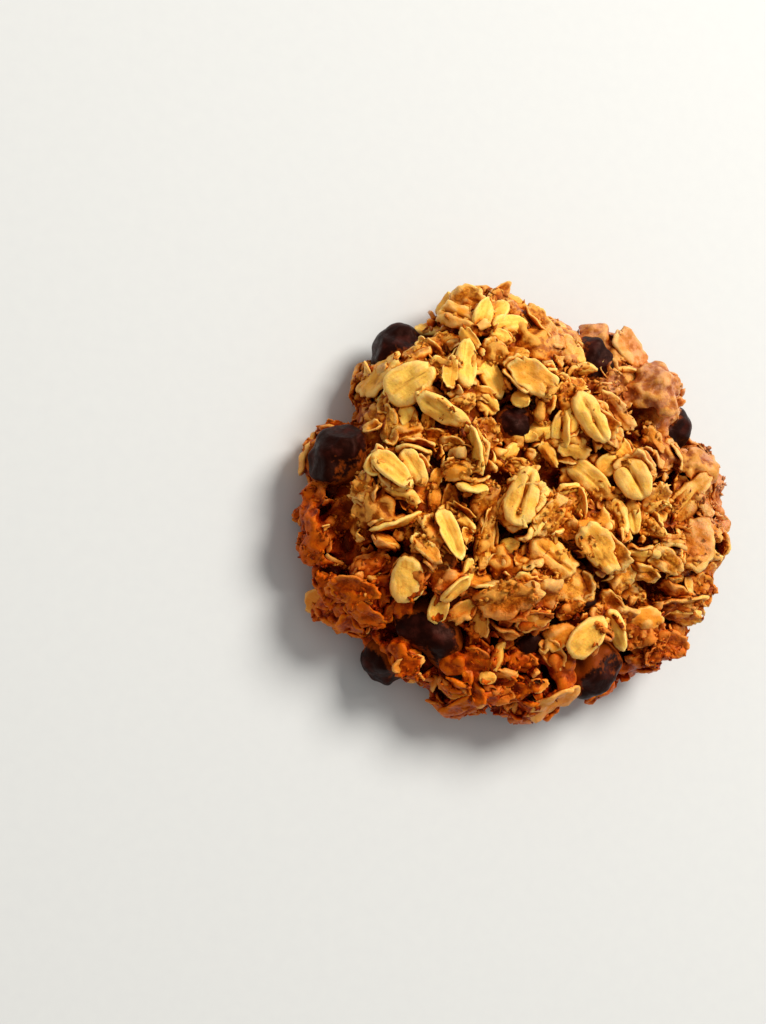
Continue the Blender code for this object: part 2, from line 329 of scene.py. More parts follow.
def seen_at(across, down):
    """The point of the mound that shows at a pixel, or the nearest one where the ray misses."""
    ray = picture_right * (across - PICTURE[0] / 2) + picture_up * (PICTURE[1] / 2 - down)
    ray = unit(ray / focal_pixels - to_camera)
    points = eye + ray * np.arange(*RAY_SEARCHED, 0.1)[:, None]
    distance = mound_distance(points)
    inside = np.nonzero(distance < 0)[0]
    nearest = inside[0] if len(inside) else distance.argmin()
    return points[nearest] - distance[nearest] * outward(points[nearest][None])[0]


def in_picture(points):
    """The pixels at which points show."""
    relative = points - eye
    depth = -relative @ to_camera
    across = PICTURE[0] / 2 + focal_pixels * (relative @ picture_right) / depth
    down = PICTURE[1] / 2 - focal_pixels * (relative @ picture_up) / depth
    return np.stack((across, down), axis=1)


print("The camera is", round(float(np.linalg.norm(eye))), "mm from the cookie")

# %% [markdown]
# ## One rolled oat
#
# A rolled oat is a steamed grain pressed flat: an oval 7 to 10 mm long and about 1.3 mm thick, with
# the grain's groove down its middle, two plump halves beside it, fine ribs along it, and a rim that
# cracked in the rollers. Its mesh is a square grid bent to a disc, once for the upper side and once
# for the lower, sewn together at the border. The grid's lines lie closer near the middle, where
# they run along the groove, and at the rim.

# %% The net
ALONG = (0, 0.2, 0.4, 0.6, 0.8, 0.94, 1)
ACROSS = (0, 0.1, 0.21, 0.36, 0.56, 0.78, 0.94, 1)
COARSE = (0, 0.4, 0.85, 1)


def flake_net(along, across):
    """Each point's place in the grid and its side, and the faces."""
    us, vs = (sorted({side * line for line in lines for side in (-1, 1)}) for lines in (along, across))
    numbers, rows, faces = {}, [], []

    def corner(i, j, side):
        key = (i, j, 0 if 1 in (abs(us[i]), abs(vs[j])) else side)
        if key not in numbers:
            numbers[key] = len(rows)
            rows.append((us[i], vs[j], key[2]))
        return numbers[key]

    for side in (1, -1):
        for i in range(len(us) - 1):
            for j in range(len(vs) - 1):
                a, b = corner(i, j, side), corner(i + 1, j, side)
                c, d = corner(i + 1, j + 1, side), corner(i, j + 1, side)
                outward_split = (us[i] + us[i + 1]) * (vs[j] + vs[j + 1]) > 0
                halves = [(a, b, c), (a, c, d)] if outward_split else [(a, b, d), (b, c, d)]
                faces += halves if side > 0 else [half[::-1] for half in halves]
    u, v, side = np.array(rows).T
    x, y = u * np.sqrt(1 - v**2 / 2), v * np.sqrt(1 - u**2 / 2)
    return np.hypot(x, y), side, np.arctan2(y, x), np.array(faces)


FINE_NET = flake_net(ALONG, ACROSS)
COARSE_NET = flake_net(COARSE, COARSE)
print("A flake has", len(FINE_NET[3]), "triangles, and a coarse one", len(COARSE_NET[3]))

# %% [markdown]
# The flake's own numbers are drawn at random: how it bends, how the groove wanders, where the rim
# is nicked. `crease` says how deep the groove is. A flake without one was rolled flatter and shows
# low steps that follow its rim. `coating` says how much dough sticks to it. `torn` cuts one end off
# along a ragged line, as in the many flakes that broke in the bag.

# %% The flake's rim
OAT_POINTEDNESS = 0.16
CLEAN = 0.12
NICK_DEPTH = (0.05, 0.25)
NICK_WIDTH = (0.08, 0.18)

Flake = namedtuple("Flake", "at turn length width crease coating plump torn curl")


def raggedness(flake):
    """A clean flake has a neater rim and face than one with dough on it."""
    return 0.4 if flake.coating < CLEAN else 1.0


def flake_rim(angle, rng, wave, flake):
    """Where the rim runs, for each angle."""
    outline = 0.05 * np.sin(3 * angle + wave[0]) + 0.035 * np.sin(5 * angle + wave[1])
    outline += 0.035 * np.sin(8 * angle + wave[2]) + 0.03 * np.sin(13 * angle + wave[3])
    outline = 1 + raggedness(flake) * outline
    for _ in range(rng.integers(0, 2) if flake.coating < CLEAN else rng.integers(2, 6)):
        from_nick = (angle - rng.uniform(0, 2 * math.pi) + math.pi) % (2 * math.pi) - math.pi
        outline -= rng.uniform(*NICK_DEPTH) * np.exp(-((from_nick / rng.uniform(*NICK_WIDTH)) ** 2))
    cos, sin = np.cos(angle), np.sin(angle)
    x = flake.length / 2 * np.sign(cos) * np.abs(cos) ** 0.9 * outline
    y = flake.width / 2 * np.sign(sin) * np.abs(sin) ** 0.9 * outline * (1 - OAT_POINTEDNESS * cos)
    if flake.torn < 1:
        tear = flake.torn * flake.length / 2 + 0.25 * np.sin(2.3 * y + wave[4])
        x = np.minimum(x, tear + 0.14 * np.sin(6.1 * y + wave[5]))
    return x, y


# %% [markdown]
# The upper face gets the groove, fine ribs, steps and a thin raised lip. The lower face is a shallow
# dish, since dough hides it.

# %% The flake's faces
RIM_THICKNESS = 0.4
RIM_BULGE = 1.03
RIB_SPACING = 0.85
LIP_AT, LIP_WIDTH = 0.92, 0.07


def flake_relief(net, x, y, wave, flake):
    """How high each point of a flat flake lies, and how deep in the groove it is."""
    share, side, angle = net[:3]
    crease, inner = flake.crease, np.clip(share, 0, 1)
    u, v = 2 * x / flake.length, 2 * y / flake.width
    groove_width = (0.2 + 0.1 * crease) / (flake.width / 2)
    groove = np.exp(-(((v - 0.07 * np.sin(2.2 * u + wave[6])) / groove_width) ** 2))
    groove *= np.clip(1 - u**6, 0, 1)
    ribs = 0.03 * np.sin(2 * math.pi * y / RIB_SPACING + 0.8 * np.sin(u * 2 + wave[7]))
    steps = np.sin(12 * inner + wave[7] + 0.6 * np.sin(2 * angle)) * (0.6 + 0.4 * np.cos(angle + wave[0]))
    steps *= 0.15 * (1 - crease) * inner * min(1.0, flake.length / 8)
    lip = 0.16 * (1 - crease) * np.exp(-(((inner - LIP_AT) / LIP_WIDTH) ** 2))
    dome = (1 - inner ** (4.5 - 2 * crease)) ** 0.75
    height = flake.plump * min(1.0, flake.width / 4.0)
    upper = RIM_THICKNESS / 2 + dome * (height * (1 - crease * groove) + ribs)
    upper = upper + (steps + lip) * (inner < 0.97)
    lower = -RIM_THICKNESS / 2 - 0.3 * height * dome
    return np.where(side > 0, upper, np.where(side < 0, lower, 0.0)), groove


# %% [markdown]
# Moist flakes curl as they bake, so each is bent, twisted and folded a little at random. One that
# would stick out of the solid's box is pushed back in, which keeps the cookie's true size.

# %% Bend a flake and lay it down
MAY_STAND_PROUD = np.array((0.4, 0.4, 0.2))
ABOVE_TRAY = 0.05


def flake_points(net, rng, flake):
    """Points of a flake in mm, with its creased face outwards, and what its finish needs."""
    share, side, angle = net[:3]
    clean, inner = flake.coating < CLEAN, np.clip(share, 0, 1)
    wave = rng.uniform(0, 2 * math.pi, 10)
    x, y = (np.where(side == 0, RIM_BULGE, share) * rim for rim in flake_rim(angle, rng, wave, flake))
    z, groove = flake_relief(net, x, y, wave, flake)
    u, v = 2 * x / flake.length, 2 * y / flake.width
    along, across, twist, edge, fold = rng.uniform(-1, 1, 5) * flake.curl
    z = z - 0.55 * along * u**2 - 0.5 * across * v**2 + 0.5 * twist * u * v
    z = z + 0.7 * edge * inner**3 * np.cos(angle + wave[8]) + 0.5 * fold * np.abs(v)
    z = z + 0.16 * np.sin(1.9 * x + wave[9]) * np.sin(1.7 * y + wave[5])
    points = np.stack((x, y, z), axis=1)
    values = {
        "crease": flake.crease * groove * (side > 0) * (1 - inner**8),
        "rim": smooth_step(share, 0.72, 1.0),
        "grain": points + (0, 0, 3 * wave[0]),
        "tone": np.full(len(points), rng.uniform(0.7 * clean, 0.7 + 0.3 * clean)),
        "coating": np.full(len(points), flake.coating),
    }
    points = points @ flake.turn.T + flake.at
    rippled = 0.14 * lumps(points, 1.5, 71) + 0.06 * lumps(points, 0.9, 72)
    rippled *= raggedness(flake) + 0.8 * flake.coating
    points = points + rippled[:, None] * flake.turn[:, 2]
    past = np.maximum(points.max(axis=0) - highest - MAY_STAND_PROUD, 0)
    points -= past + np.minimum(points.min(axis=0) - lowest + MAY_STAND_PROUD, 0)
    points[:, 2] = np.maximum(points[:, 2], ABOVE_TRAY)
    return points, values


# %% [markdown]
# ## Chocolate, and flakes of the solid
#
# The chips and the chunk keep the places, sizes and turns that the solid gives them. Its flakes were
# strewn by a rule: try spots in a shuffled order and keep one if it is far enough from those kept
# before and from the flakes it had by name. The same seed gives the same spots again.

# %% The chocolate, and the flakes by name
Chip = namedtuple("Chip", "name x y z length width height heading roll squareness")
CHIPS = (
    Chip("chip_top_right", 10.8, 21.6, 11.6, 8.2, 7.0, 6.0, -32, 18, 2.2),
    Chip("chip_right", 24.9, 12.4, 8.8, 8.6, 7.6, 6.4, 24, 40, 2.2),
    Chip("chip_left", -29.0, 5.4, 8.4, 9.4, 8.2, 7.8, 60, -40, 2.6),
    Chip("chip_upper_left", -18.6, 21.8, 6.4, 8.6, 7.8, 8.6, 44, -30, 2.4),
    Chip("chip_centre", -3.6, 11.2, 14.6, 6.6, 5.6, 5.0, 10, 10, 3.0),
    Chip("chunk_low_left", -15.6, -19.4, 9.6, 11.4, 7.8, 6.6, -30, -22, 4.0),
    Chip("chip_bottom_right", 11.2, -25.0, 9.8, 10.2, 7.8, 7.2, 16, 24, 2.4),
    Chip("chip_low_left", -20.6, -24.0, 4.6, 7.6, 6.0, 6.2, -36, 0, 2.4),
    Chip("chip_far_side", 29.4, -9.4, 4.8, 7.4, 6.0, 6.0, 70, 30, 2.3),
)

# x and y of the flakes that the solid has by name, and z where it isn't the dough's top
NAMED_SPOTS = (
    (-2.8, -0.5, None), (-11.1, 18.6, None), (-1.0, 17.6, None), (-20.2, 16.4, None),
    (5.8, 11.0, None), (7.6, 2.4, None), (15.2, 3.0, None), (24.4, 0.6, None),
    (25.8, -6.0, None), (9.2, -7.9, None), (2.6, -11.6, None), (0.9, -9.9, 19.3),
    (5.8, -21.2, None), (-20.2, -13.0, None), (12.4, -19.2, None), (-14.8, -7.4, None),
    (-21.6, -5.6, None), (-15.2, 11.2, None), (-19.6, 5.8, None), (-4.6, -15.6, None),
    (-9.0, 26.2, None), (-3.2, 26.6, None), (5.6, 20.6, None), (-15.6, 23.0, None),
    (-23.4, 2.0, None), (17.4, 23.6, 8.6), (32.6, 1.8, 9.0), (-2.2, 31.4, 7.6),
)
print(len(CHIPS), "pieces of chocolate and", len(NAMED_SPOTS), "flakes have a place by name")

# %% [markdown]
# `strewn_spots` gives the places and `strewn_flakes` lays a flake on each, turned and leaning at
# random. On the face flakes lean a lot. On the wall they lean less and lie deeper.

# %% Strew flakes


def strewn_spots(taken, spacing, seed, tries, lowest):
    """Points on the dough at least one spacing apart and clear of the points in taken."""
    rng = random.Random(seed)
    points = reach(even_directions(tries))
    order = list(range(len(points)))
    rng.shuffle(order)
    kept = []
    clear = points[:, 2] >= lowest
    for at, room in taken:
        clear &= np.linalg.norm(points - at, axis=1) >= room
    for i in order:
        if clear[i]:
            kept.append(i)
            clear &= np.linalg.norm(points - points[i], axis=1) > spacing
    return points[kept]


def strewn_flakes(points, seed, lengths, shares, most_tilt, wall_tilt, lift, sinking, style):
    """Flakes on these spots, leaning at random. style draws each one's groove and coating."""
    rng = random.Random(seed)
    made = []
    for point, normal in zip(points, outward(points)):
        length = rng.uniform(*lengths)
        width = length * rng.uniform(*shares)
        facing = Vector(normal).to_track_quat("Z", "X").to_matrix()
        wall = 1 - max(normal[2], 0)
        tilt = math.radians(rng.uniform(0, most_tilt + (wall_tilt - most_tilt) * wall))
        turn = Matrix.Rotation(rng.uniform(0, 2 * math.pi), 3, "Z")
        lean = Matrix.Rotation(tilt, 3, "Y") @ Matrix.Rotation(rng.uniform(0, 2 * math.pi), 3, "Z")
        proud = rng.uniform(-lift, lift) - sinking * wall
        lying = np.array(facing @ turn @ lean)
        made.append(Flake(point + normal * proud, lying, length, width, *style()))
    return made


# %% Strew as in the solid
OAT_LENGTH = (7.2, 9.6)
OAT_WIDTH_SHARE = (0.60, 0.74)
OAT_SPACING = 5.5
OAT_LIFT = 0.35
MOST_TILT_ON_FACE = 48.0
MOST_TILT_ON_WALL = 24.0
WALL_SINKING = 0.7
LOWEST_OAT = 1.8
SPOTS_TRIED = 5000
OAT_SEED = 11
ROOM_ROUND_CHIP = 0.72
oat_rng = np.random.default_rng(5)


def whole_oat():
    """Groove, coating, plumpness, tear and curl of a flake from the packet."""
    torn = oat_rng.choice((1.0, 1.0, oat_rng.uniform(0.2, 0.7)))
    crease, coating = oat_rng.choice((0.1, 0.3, 0.8)), oat_rng.uniform(0.15, 0.8)
    return crease, coating, oat_rng.uniform(0.4, 0.75), torn, 1.2


chip_places = [(np.array((c.x, c.y, c.z)), max(c.length, c.width) * ROOM_ROUND_CHIP) for c in CHIPS]
taken = list(chip_places)
for x, y, z in NAMED_SPOTS:
    taken.append((np.array((x, y, height_at(x, y) if z is None else z)), OAT_SPACING))
spots = strewn_spots(taken, OAT_SPACING, OAT_SEED, SPOTS_TRIED, LOWEST_OAT)
strewn = strewn_flakes(
    spots, OAT_SEED + 1, OAT_LENGTH, OAT_WIDTH_SHARE, MOST_TILT_ON_FACE, MOST_TILT_ON_WALL, OAT_LIFT,
    WALL_SINKING, whole_oat,
)
print(len(strewn), "flakes are strewn as in the solid")

# %% [markdown]
# ## The flakes that the picture shows
#
# A face is known by its particular flakes: the split one in the middle, the two blades above it, the
# smooth oval at the left. These are listed, each with the pixel of its middle, its true length and width
# in mm, its heading in the picture, how far it rolls over to show its edge, the depth of its groove, how
# much dough sticks to it, and how far it stands out.

# %% The list
Seen = namedtuple("Seen", "across down length width heading roll crease coating lift")
PICTURE_OATS = [
    Seen(*row)
    for row in (
        # top
        (470, 303, 5.8, 4.4, -25, 15, 0.25, 0.45, 0.7),
        (460, 320, 7.0, 4.0, -32, -5, 0.85, 0.15, 0.5),
        (483, 317, 5.2, 3.2, 68, 20, 0.2, 0.1, 0.6),
        (449, 308, 4.8, 3.0, 78, -15, 0.2, 0.2, 0.3),
        (497, 313, 4.6, 3.0, 58, -15, 0.2, 0.1, 0.5),
        (506, 327, 6.0, 3.4, 15, 0, 0.3, 0.1, 0.6),
        (516, 303, 4.8, 3.4, -22, 15, 0.2, 0.3, 0.4),
        (500, 338, 3.6, 2.6, -12, 0, 0.0, 0.1, 0.2),
        (512, 313, 3.6, 3.4, 40, 0, 0.2, 0.8, 0.3),
        (530, 347, 8.6, 4.6, -8, 0, 0.1, 1.0, 0.2),
        (541, 327, 7.4, 3.2, -50, -20, 0.1, 0.5, 0.2),
        (498, 294, 5.8, 2.8, 58, 20, 0.1, 0.7, 0.0),
        (480, 294, 5.6, 2.6, 5, 20, 0.1, 0.7, 0.0),
        # upper middle
        (533, 380, 8.2, 4.6, -30, 0, 0.05, 0.25, 0.7),
        (562, 396, 4.6, 3.8, -68, 0, 0.3, 0.8, 0.4),
        (463, 368, 7.8, 3.2, 88, 10, 0.2, 0.0, 0.8),
        (486, 375, 8.0, 3.4, -62, -10, 0.3, 0.1, 0.7),
        (450, 374, 5.4, 2.4, 84, 0, 0.1, 0.3, 0.2),
        (470, 340, 4.0, 2.2, -48, 0, 0.1, 0.2, 0.5),
        (482, 395, 4.2, 2.4, -18, 0, 0.4, 0.3, 0.2),
        (484, 405, 3.6, 3.0, -40, 10, 0.8, 0.3, 0.4),
        (463, 404, 4.4, 3.4, 30, 0, 0.4, 0.5, 0.0),
        (500, 372, 6.4, 3.0, -72, 20, 0.3, 0.6, 0.2),
        (521, 399, 2.8, 2.4, -15, 0, 0.0, 0.0, 0.5),
        (495, 350, 4.4, 3.2, -40, 10, 0.2, 0.55, 0.0),
        (515, 355, 4.2, 2.6, 10, 0, 0.2, 0.4, 0.1),
        (568, 354, 6.8, 4.2, -45, 0, 0.1, 0.1, 0.4),
        (580, 371, 5.0, 2.4, 4, 60, 0.0, 0.0, 0.4),
        (574, 388, 4.2, 3.0, 10, 0, 0.2, 0.4, 0.1),
        (563, 430, 6.2, 3.0, 86, -15, 0.5, 0.1, 0.5),
        (573, 421, 5.6, 2.4, 97, 15, 0.2, 0.0, 0.7),
        (590, 419, 8.6, 4.0, -61, 0, 0.6, 0.0, 0.9),
        (541, 430, 4.4, 3.2, 12, 0, 0.1, 0.0, 0.2),
        (575, 447, 5.0, 3.6, -20, 0, 0.2, 0.3, 0.4),
        # upper left
        (435, 337, 6.0, 3.4, -18, -60, 0.1, 0.0, 0.5),
        (431, 351, 5.2, 2.6, -42, 40, 0.2, 0.2, 0.3),
        (413, 384, 8.0, 5.8, 32, 0, 0.55, 0.0, 0.7),
        (441, 371, 4.2, 2.4, -62, 0, 0.1, 0.1, 0.4),
        (418, 353, 5.0, 3.0, 25, -30, 0.2, 0.5, 0.0),
        (393, 402, 6.0, 3.4, 62, -30, 0.2, 0.55, 0.2),
        (444, 410, 8.6, 3.6, -33, 20, 0.2, 0.05, 0.6),
        (409, 418, 4.2, 2.8, -72, 0, 0.2, 0.1, 0.4),
        (429, 418, 3.8, 2.0, 80, 20, 0.1, 0.2, 0.1),
        (389, 424, 5.2, 3.2, 80, -30, 0.2, 0.4, 0.2),
        (436, 439, 4.2, 2.8, -8, 0, 0.2, 0.3, 0.2),
        (408, 436, 4.8, 4.2, 20, 0, 0.7, 0.2, 0.3),
        (455, 445, 5.4, 2.6, -12, 30, 0.2, 0.6, 0.0),
        (490, 432, 4.8, 3.4, -50, 0, 0.3, 0.5, 0.0),
        # left of the middle
        (412, 453, 5.4, 3.4, 1, 72, 0.0, 0.0, 0.6),
        (458, 470, 4.8, 3.0, 6, 0, 0.0, 0.2, 0.5),
        (477, 452, 7.4, 3.2, -82, 66, 0.0, 0.1, 0.6),
        (471, 482, 4.8, 2.6, -2, 62, 0.0, 0.0, 0.8),
        (437, 477, 3.2, 2.0, 62, 0, 0.1, 0.2, 0.3),
        (434, 498, 4.2, 2.2, 88, 10, 0.1, 0.2, 0.3),
        (450, 498, 4.4, 2.6, 86, 0, 0.2, 0.6, 0.0),
        (392, 472, 7.6, 3.4, -42, -10, 0.3, 0.0, 1.0),
        (411, 470, 6.0, 3.2, -56, 15, 0.3, 0.1, 0.7),
        (376, 465, 4.0, 2.8, 62, 20, 0.2, 0.1, 0.5),
        (365, 486, 4.6, 3.6, 80, -15, 0.2, 0.5, 0.3),
        (398, 494, 6.4, 2.4, -22, 50, 0.1, 0.3, 0.4),
        (366, 503, 5.0, 3.4, 60, -10, 0.2, 1.0, 0.1),
        (375, 508, 6.0, 4.0, -5, 10, 0.1, 1.0, 0.0),
        (396, 521, 7.8, 3.6, 12, 58, 0.2, 0.0, 0.7),
        (388, 540, 4.6, 3.0, -24, -62, 0.1, 0.1, 0.4),
        (447, 538, 8.0, 3.0, -66, 10, 0.2, 0.0, 1.0),
        (454, 522, 6.4, 2.8, -30, 25, 0.1, 0.1, 0.8),
        (432, 535, 5.6, 3.2, -72, -25, 0.3, 0.3, 0.5),
        (426, 550, 5.6, 2.6, -42, -20, 0.2, 0.4, 0.4),
        (463, 537, 2.6, 2.4, 30, 0, 0.4, 0.3, 0.5),
        (410, 577, 7.0, 4.9, 86, 20, 0.0, 0.0, 0.9),
        (485, 500, 6.4, 4.6, 75, 0, 0.1, 0.6, 0.1),
        (484, 538, 9.4, 3.0, 82, 10, 0.1, 0.3, 0.4),
        (463, 571, 4.2, 2.0, 80, 15, 0.0, 0.0, 0.8),
        # middle
        (523, 497, 8.8, 5.0, 75, 0, 0.95, 0.0, 0.1),
        (518, 464, 3.8, 2.0, -6, 20, 0.1, 0.4, 0.0),
        (509, 455, 4.4, 2.2, 52, 30, 0.1, 0.1, 0.2),
        (548, 455, 4.4, 2.0, -60, 30, 0.1, 0.2, 0.2),
        (528, 437, 2.0, 1.8, 0, 0, 0.0, 0.0, 0.6),
        (587, 479, 8.0, 3.8, -38, 10, 0.4, 0.0, 0.7),
        (567, 492, 4.0, 2.4, 8, 40, 0.0, 0.0, 0.6),
        (579, 504, 5.0, 2.6, -80, 30, 0.1, 0.1, 0.5),
        (563, 508, 4.6, 3.6, 20, 0, 0.2, 0.7, 0.0),
        (534, 529, 4.8, 2.8, 42, 68, 0.0, 0.0, 0.5),
        (509, 546, 3.0, 2.4, 20, 0, 0.1, 0.0, 0.3),
        (548, 560, 8.2, 5.2, -35, 5, 0.6, 0.2, 1.1),
        (562, 582, 9.6, 6.2, -26, 0, 0.1, 0.3, 0.5),
        (568, 530, 4.6, 3.4, -72, 0, 0.2, 0.5, 0.3),
        (500, 560, 4.4, 3.0, 70, 0, 0.2, 0.6, 0.0),
        # right
        (617, 447, 4.6, 3.0, -40, 0, 0.1, 0.0, 0.5),
        (607, 464, 4.2, 3.4, 30, 0, 0.2, 0.0, 0.4),
        (633, 480, 6.6, 5.2, -62, 0, 0.75, 0.0, 0.6),
        (624, 468, 4.0, 2.4, 5, 20, 0.0, 0.4, 0.8),
        (655, 498, 5.4, 4.0, 50, 0, 0.2, 0.6, 0.0),
        (655, 505, 4.6, 2.4, 15, 40, 0.0, 0.4, 0.3),
        (630, 515, 5.2, 2.6, -78, 10, 0.0, 0.0, 0.9),
        (615, 522, 7.2, 3.0, -76, 60, 0.1, 0.3, 0.6),
        (598, 548, 8.4, 4.6, -55, 0, 0.25, 0.3, 0.6),
        (651, 530, 5.0, 2.8, -32, 30, 0.1, 0.6, 0.4),
        (686, 499, 9.6, 4.6, 48, 0, 0.5, 0.25, 0.9),
        (691, 543, 8.2, 6.8, 60, -10, 0.1, 0.3, 0.6),
        (677, 460, 5.0, 2.8, -76, 60, 0.1, 0.2, 0.5),
        (664, 455, 5.6, 4.0, 60, 0, 0.1, 0.7, 0.0),
        (651, 440, 5.0, 2.4, -55, 40, 0.1, 0.2, 0.4),
        (698, 470, 4.8, 4.2, 0, 0, 0.2, 1.0, 0.2),
        (722, 491, 5.8, 3.2, 84, 15, 0.1, 0.5, 0.1),
        (720, 520, 4.6, 3.2, 88, 10, 0.1, 0.4, 0.0),
        (638, 554, 5.2, 2.4, -5, 50, 0.0, 0.1, 0.4),
        (642, 570, 5.0, 3.0, -15, 20, 0.5, 0.4, 0.2),
        (715, 560, 5.0, 3.4, 70, -20, 0.2, 0.6, 0.0),
        # upper right
        (627, 356, 8.6, 4.4, -45, -15, 0.05, 0.2, 0.6),
        (624, 372, 4.4, 1.8, 4, 50, 0.0, 0.0, 0.4),
        (612, 379, 5.6, 3.0, -35, 10, 0.2, 0.5, 0.3),
        (606, 394, 3.8, 3.4, 0, 0, 0.3, 0.7, 0.3),
        (625, 398, 4.2, 3.0, 40, 0, 0.3, 0.7, 0.2),
        (615, 413, 7.4, 3.4, -45, 52, 0.2, 0.2, 0.4),
        # lower left
        (329, 590, 5.4, 3.0, -72, 0, 0.1, 1.0, 0.3),
        (355, 590, 7.6, 4.0, -10, 10, 0.1, 0.65, 0.3),
        (367, 613, 6.6, 3.4, -36, 10, 0.1, 0.45, 0.4),
        (389, 610, 4.8, 2.4, 62, 20, 0.1, 0.4, 0.3),
        (385, 585, 5.0, 3.0, 10, 20, 0.1, 0.6, 0.0),
        (370, 565, 6.0, 3.6, 30, 0, 0.1, 0.6, 0.2),
        (316, 545, 6.4, 4.2, 75, 0, 0.1, 1.0, 0.4),
        (318, 500, 6.4, 4.4, 85, 0, 0.1, 1.0, 0.4),
        (408, 662, 4.8, 3.2, 22, 0, 0.1, 0.2, 0.8),
        (412, 673, 4.0, 2.4, -30, 20, 0.1, 0.2, 0.5),
        (452, 688, 5.0, 2.2, -20, 40, 0.0, 0.3, 0.4),
        (442, 703, 4.4, 2.2, -20, 30, 0.0, 0.3, 0.2),
        (437, 605, 5.0, 3.0, 74, 10, 0.2, 0.05, 0.6),
        (451, 584, 5.4, 3.2, 40, 20, 0.2, 0.05, 0.8),
        (462, 611, 5.0, 3.0, 28, -10, 0.2, 0.2, 0.5),
        (468, 592, 4.2, 2.6, -70, 30, 0.1, 0.5, 0.4),
        # bottom
        (510, 597, 9.6, 5.6, 12, 0, 0.1, 0.6, 0.7),
        (479, 620, 5.6, 3.0, 86, -10, 0.1, 0.3, 0.5),
        (503, 628, 5.4, 2.6, -20, 40, 0.1, 0.3, 0.3),
        (532, 617, 5.6, 3.2, 16, -5, 0.1, 0.2, 0.6),
        (568, 610, 4.4, 2.6, 30, 20, 0.1, 0.3, 0.3),
        (585, 636, 7.4, 4.2, 46, 5, 0.1, 0.0, 0.8),
        (561, 636, 5.6, 3.8, 18, 0, 0.2, 0.15, 0.6),
        (552, 653, 5.4, 3.2, -55, 0, 0.1, 0.3, 0.4),
        (612, 630, 6.6, 3.0, -66, 50, 0.1, 0.0, 0.6),
        (498, 656, 4.8, 2.2, 74, 20, 0.1, 0.1, 0.6),
        (501, 674, 5.0, 2.4, -8, 30, 0.1, 0.15, 0.4),
        (480, 658, 5.4, 2.6, -30, 20, 0.2, 0.4, 0.2),
        (486, 677, 2.6, 2.0, 0, 0, 0.1, 0.1, 0.5),
        (538, 684, 3.0, 2.2, 10, 0, 0.1, 0.2, 0.5),
        (497, 692, 4.2, 3.2, 10, 0, 0.5, 0.3, 0.4),
        (520, 660, 5.0, 3.4, -10, 0, 0.2, 0.6, 0.0),
        (515, 690, 5.0, 3.4, 20, 0, 0.4, 0.6, 0.1),
        (598, 690, 5.4, 2.6, 8, 20, 0.1, 0.5, 0.6),
        # lower right
        (628, 590, 6.6, 3.4, -20, 0, 0.1, 0.6, -0.6),
        (613, 605, 5.6, 3.2, -42, 0, 0.1, 0.5, -0.4),
        (678, 601, 9.0, 2.8, 2, 30, 0.2, 0.4, 0.5),
        (700, 585, 5.6, 3.6, -14, 0, 0.2, 0.45, 0.3),
        (716, 596, 4.2, 2.4, -68, 30, 0.0, 0.2, 0.0),
        (645, 619, 5.6, 3.8, 4, 0, 0.3, 0.15, 0.6),
        (681, 613, 6.6, 2.6, -10, 45, 0.0, 0.15, 0.5),
        (686, 634, 4.0, 3.4, 80, 0, 0.3, 0.3, 0.2),
        (667, 643, 6.4, 4.4, -20, 0, 0.3, 0.5, 0.4),
        (655, 652, 4.6, 3.0, 20, 0, 0.2, 0.5, 0.2),
        (640, 660, 5.0, 2.8, -5, 20, 0.1, 0.4, 0.2),
        (640, 637, 5.2, 3.4, 10, 0, 0.2, 0.5, 0.1),
        (665, 560, 6.0, 3.6, -30, 0, 0.2, 0.6, 0.0),
        (705, 575, 5.6, 3.0, 30, 0, 0.1, 0.5, 0.3),
    )
]

# %% [markdown]
# The dark gaps are as telling as the flakes, so the deepest are listed too: pixel and radius in mm.

# %% Deep gaps
Pit = namedtuple("Pit", "across down radius")
PITS = [
    Pit(*row)
    for row in (
        (484, 458, 1.8), (548, 475, 2.6), (566, 478, 1.8), (500, 475, 1.5), (372, 448, 2.6),
        (362, 462, 2.0), (338, 488, 2.2), (337, 508, 2.2), (337, 530, 2.0), (345, 550, 2.0),
        (335, 575, 1.5), (388, 546, 1.5), (402, 549, 1.6), (415, 554, 1.3), (474, 528, 1.3),
        (474, 548, 1.4), (472, 565, 1.5), (498, 550, 1.2), (446, 564, 1.8), (425, 600, 1.6),
        (408, 606, 1.4), (528, 645, 1.8), (545, 628, 1.2), (585, 603, 1.6), (600, 590, 1.8),
        (640, 583, 2.2), (660, 590, 2.2), (640, 603, 1.5), (668, 478, 1.8), (658, 467, 1.5),
        (632, 432, 1.8), (605, 449, 0.9), (608, 476, 0.9), (652, 490, 1.2), (634, 503, 1.2),
        (668, 530, 1.3), (630, 545, 1.3), (580, 565, 1.4), (620, 640, 1.6), (603, 647, 1.6),
        (555, 672, 1.5), (565, 690, 1.6), (438, 393, 1.8), (421, 417, 1.4), (487, 341, 1.3),
        (502, 350, 1.3), (500, 395, 1.0), (633, 415, 1.4), (670, 621, 1.5), (644, 653, 1.0),
        (440, 693, 1.2), (495, 640, 1.4), (520, 536, 1.2), (505, 531, 1.2), (383, 632, 1.3),
        (505, 405, 1.6), (535, 400, 1.2), (348, 478, 2.0), (354, 436, 2.4), (343, 520, 2.2),
        (455, 640, 1.8), (430, 655, 1.6),
    )
]

# %% [markdown]
# Smooth lumps of dough lap over some of the chocolate: pixel, radius and lift in mm.

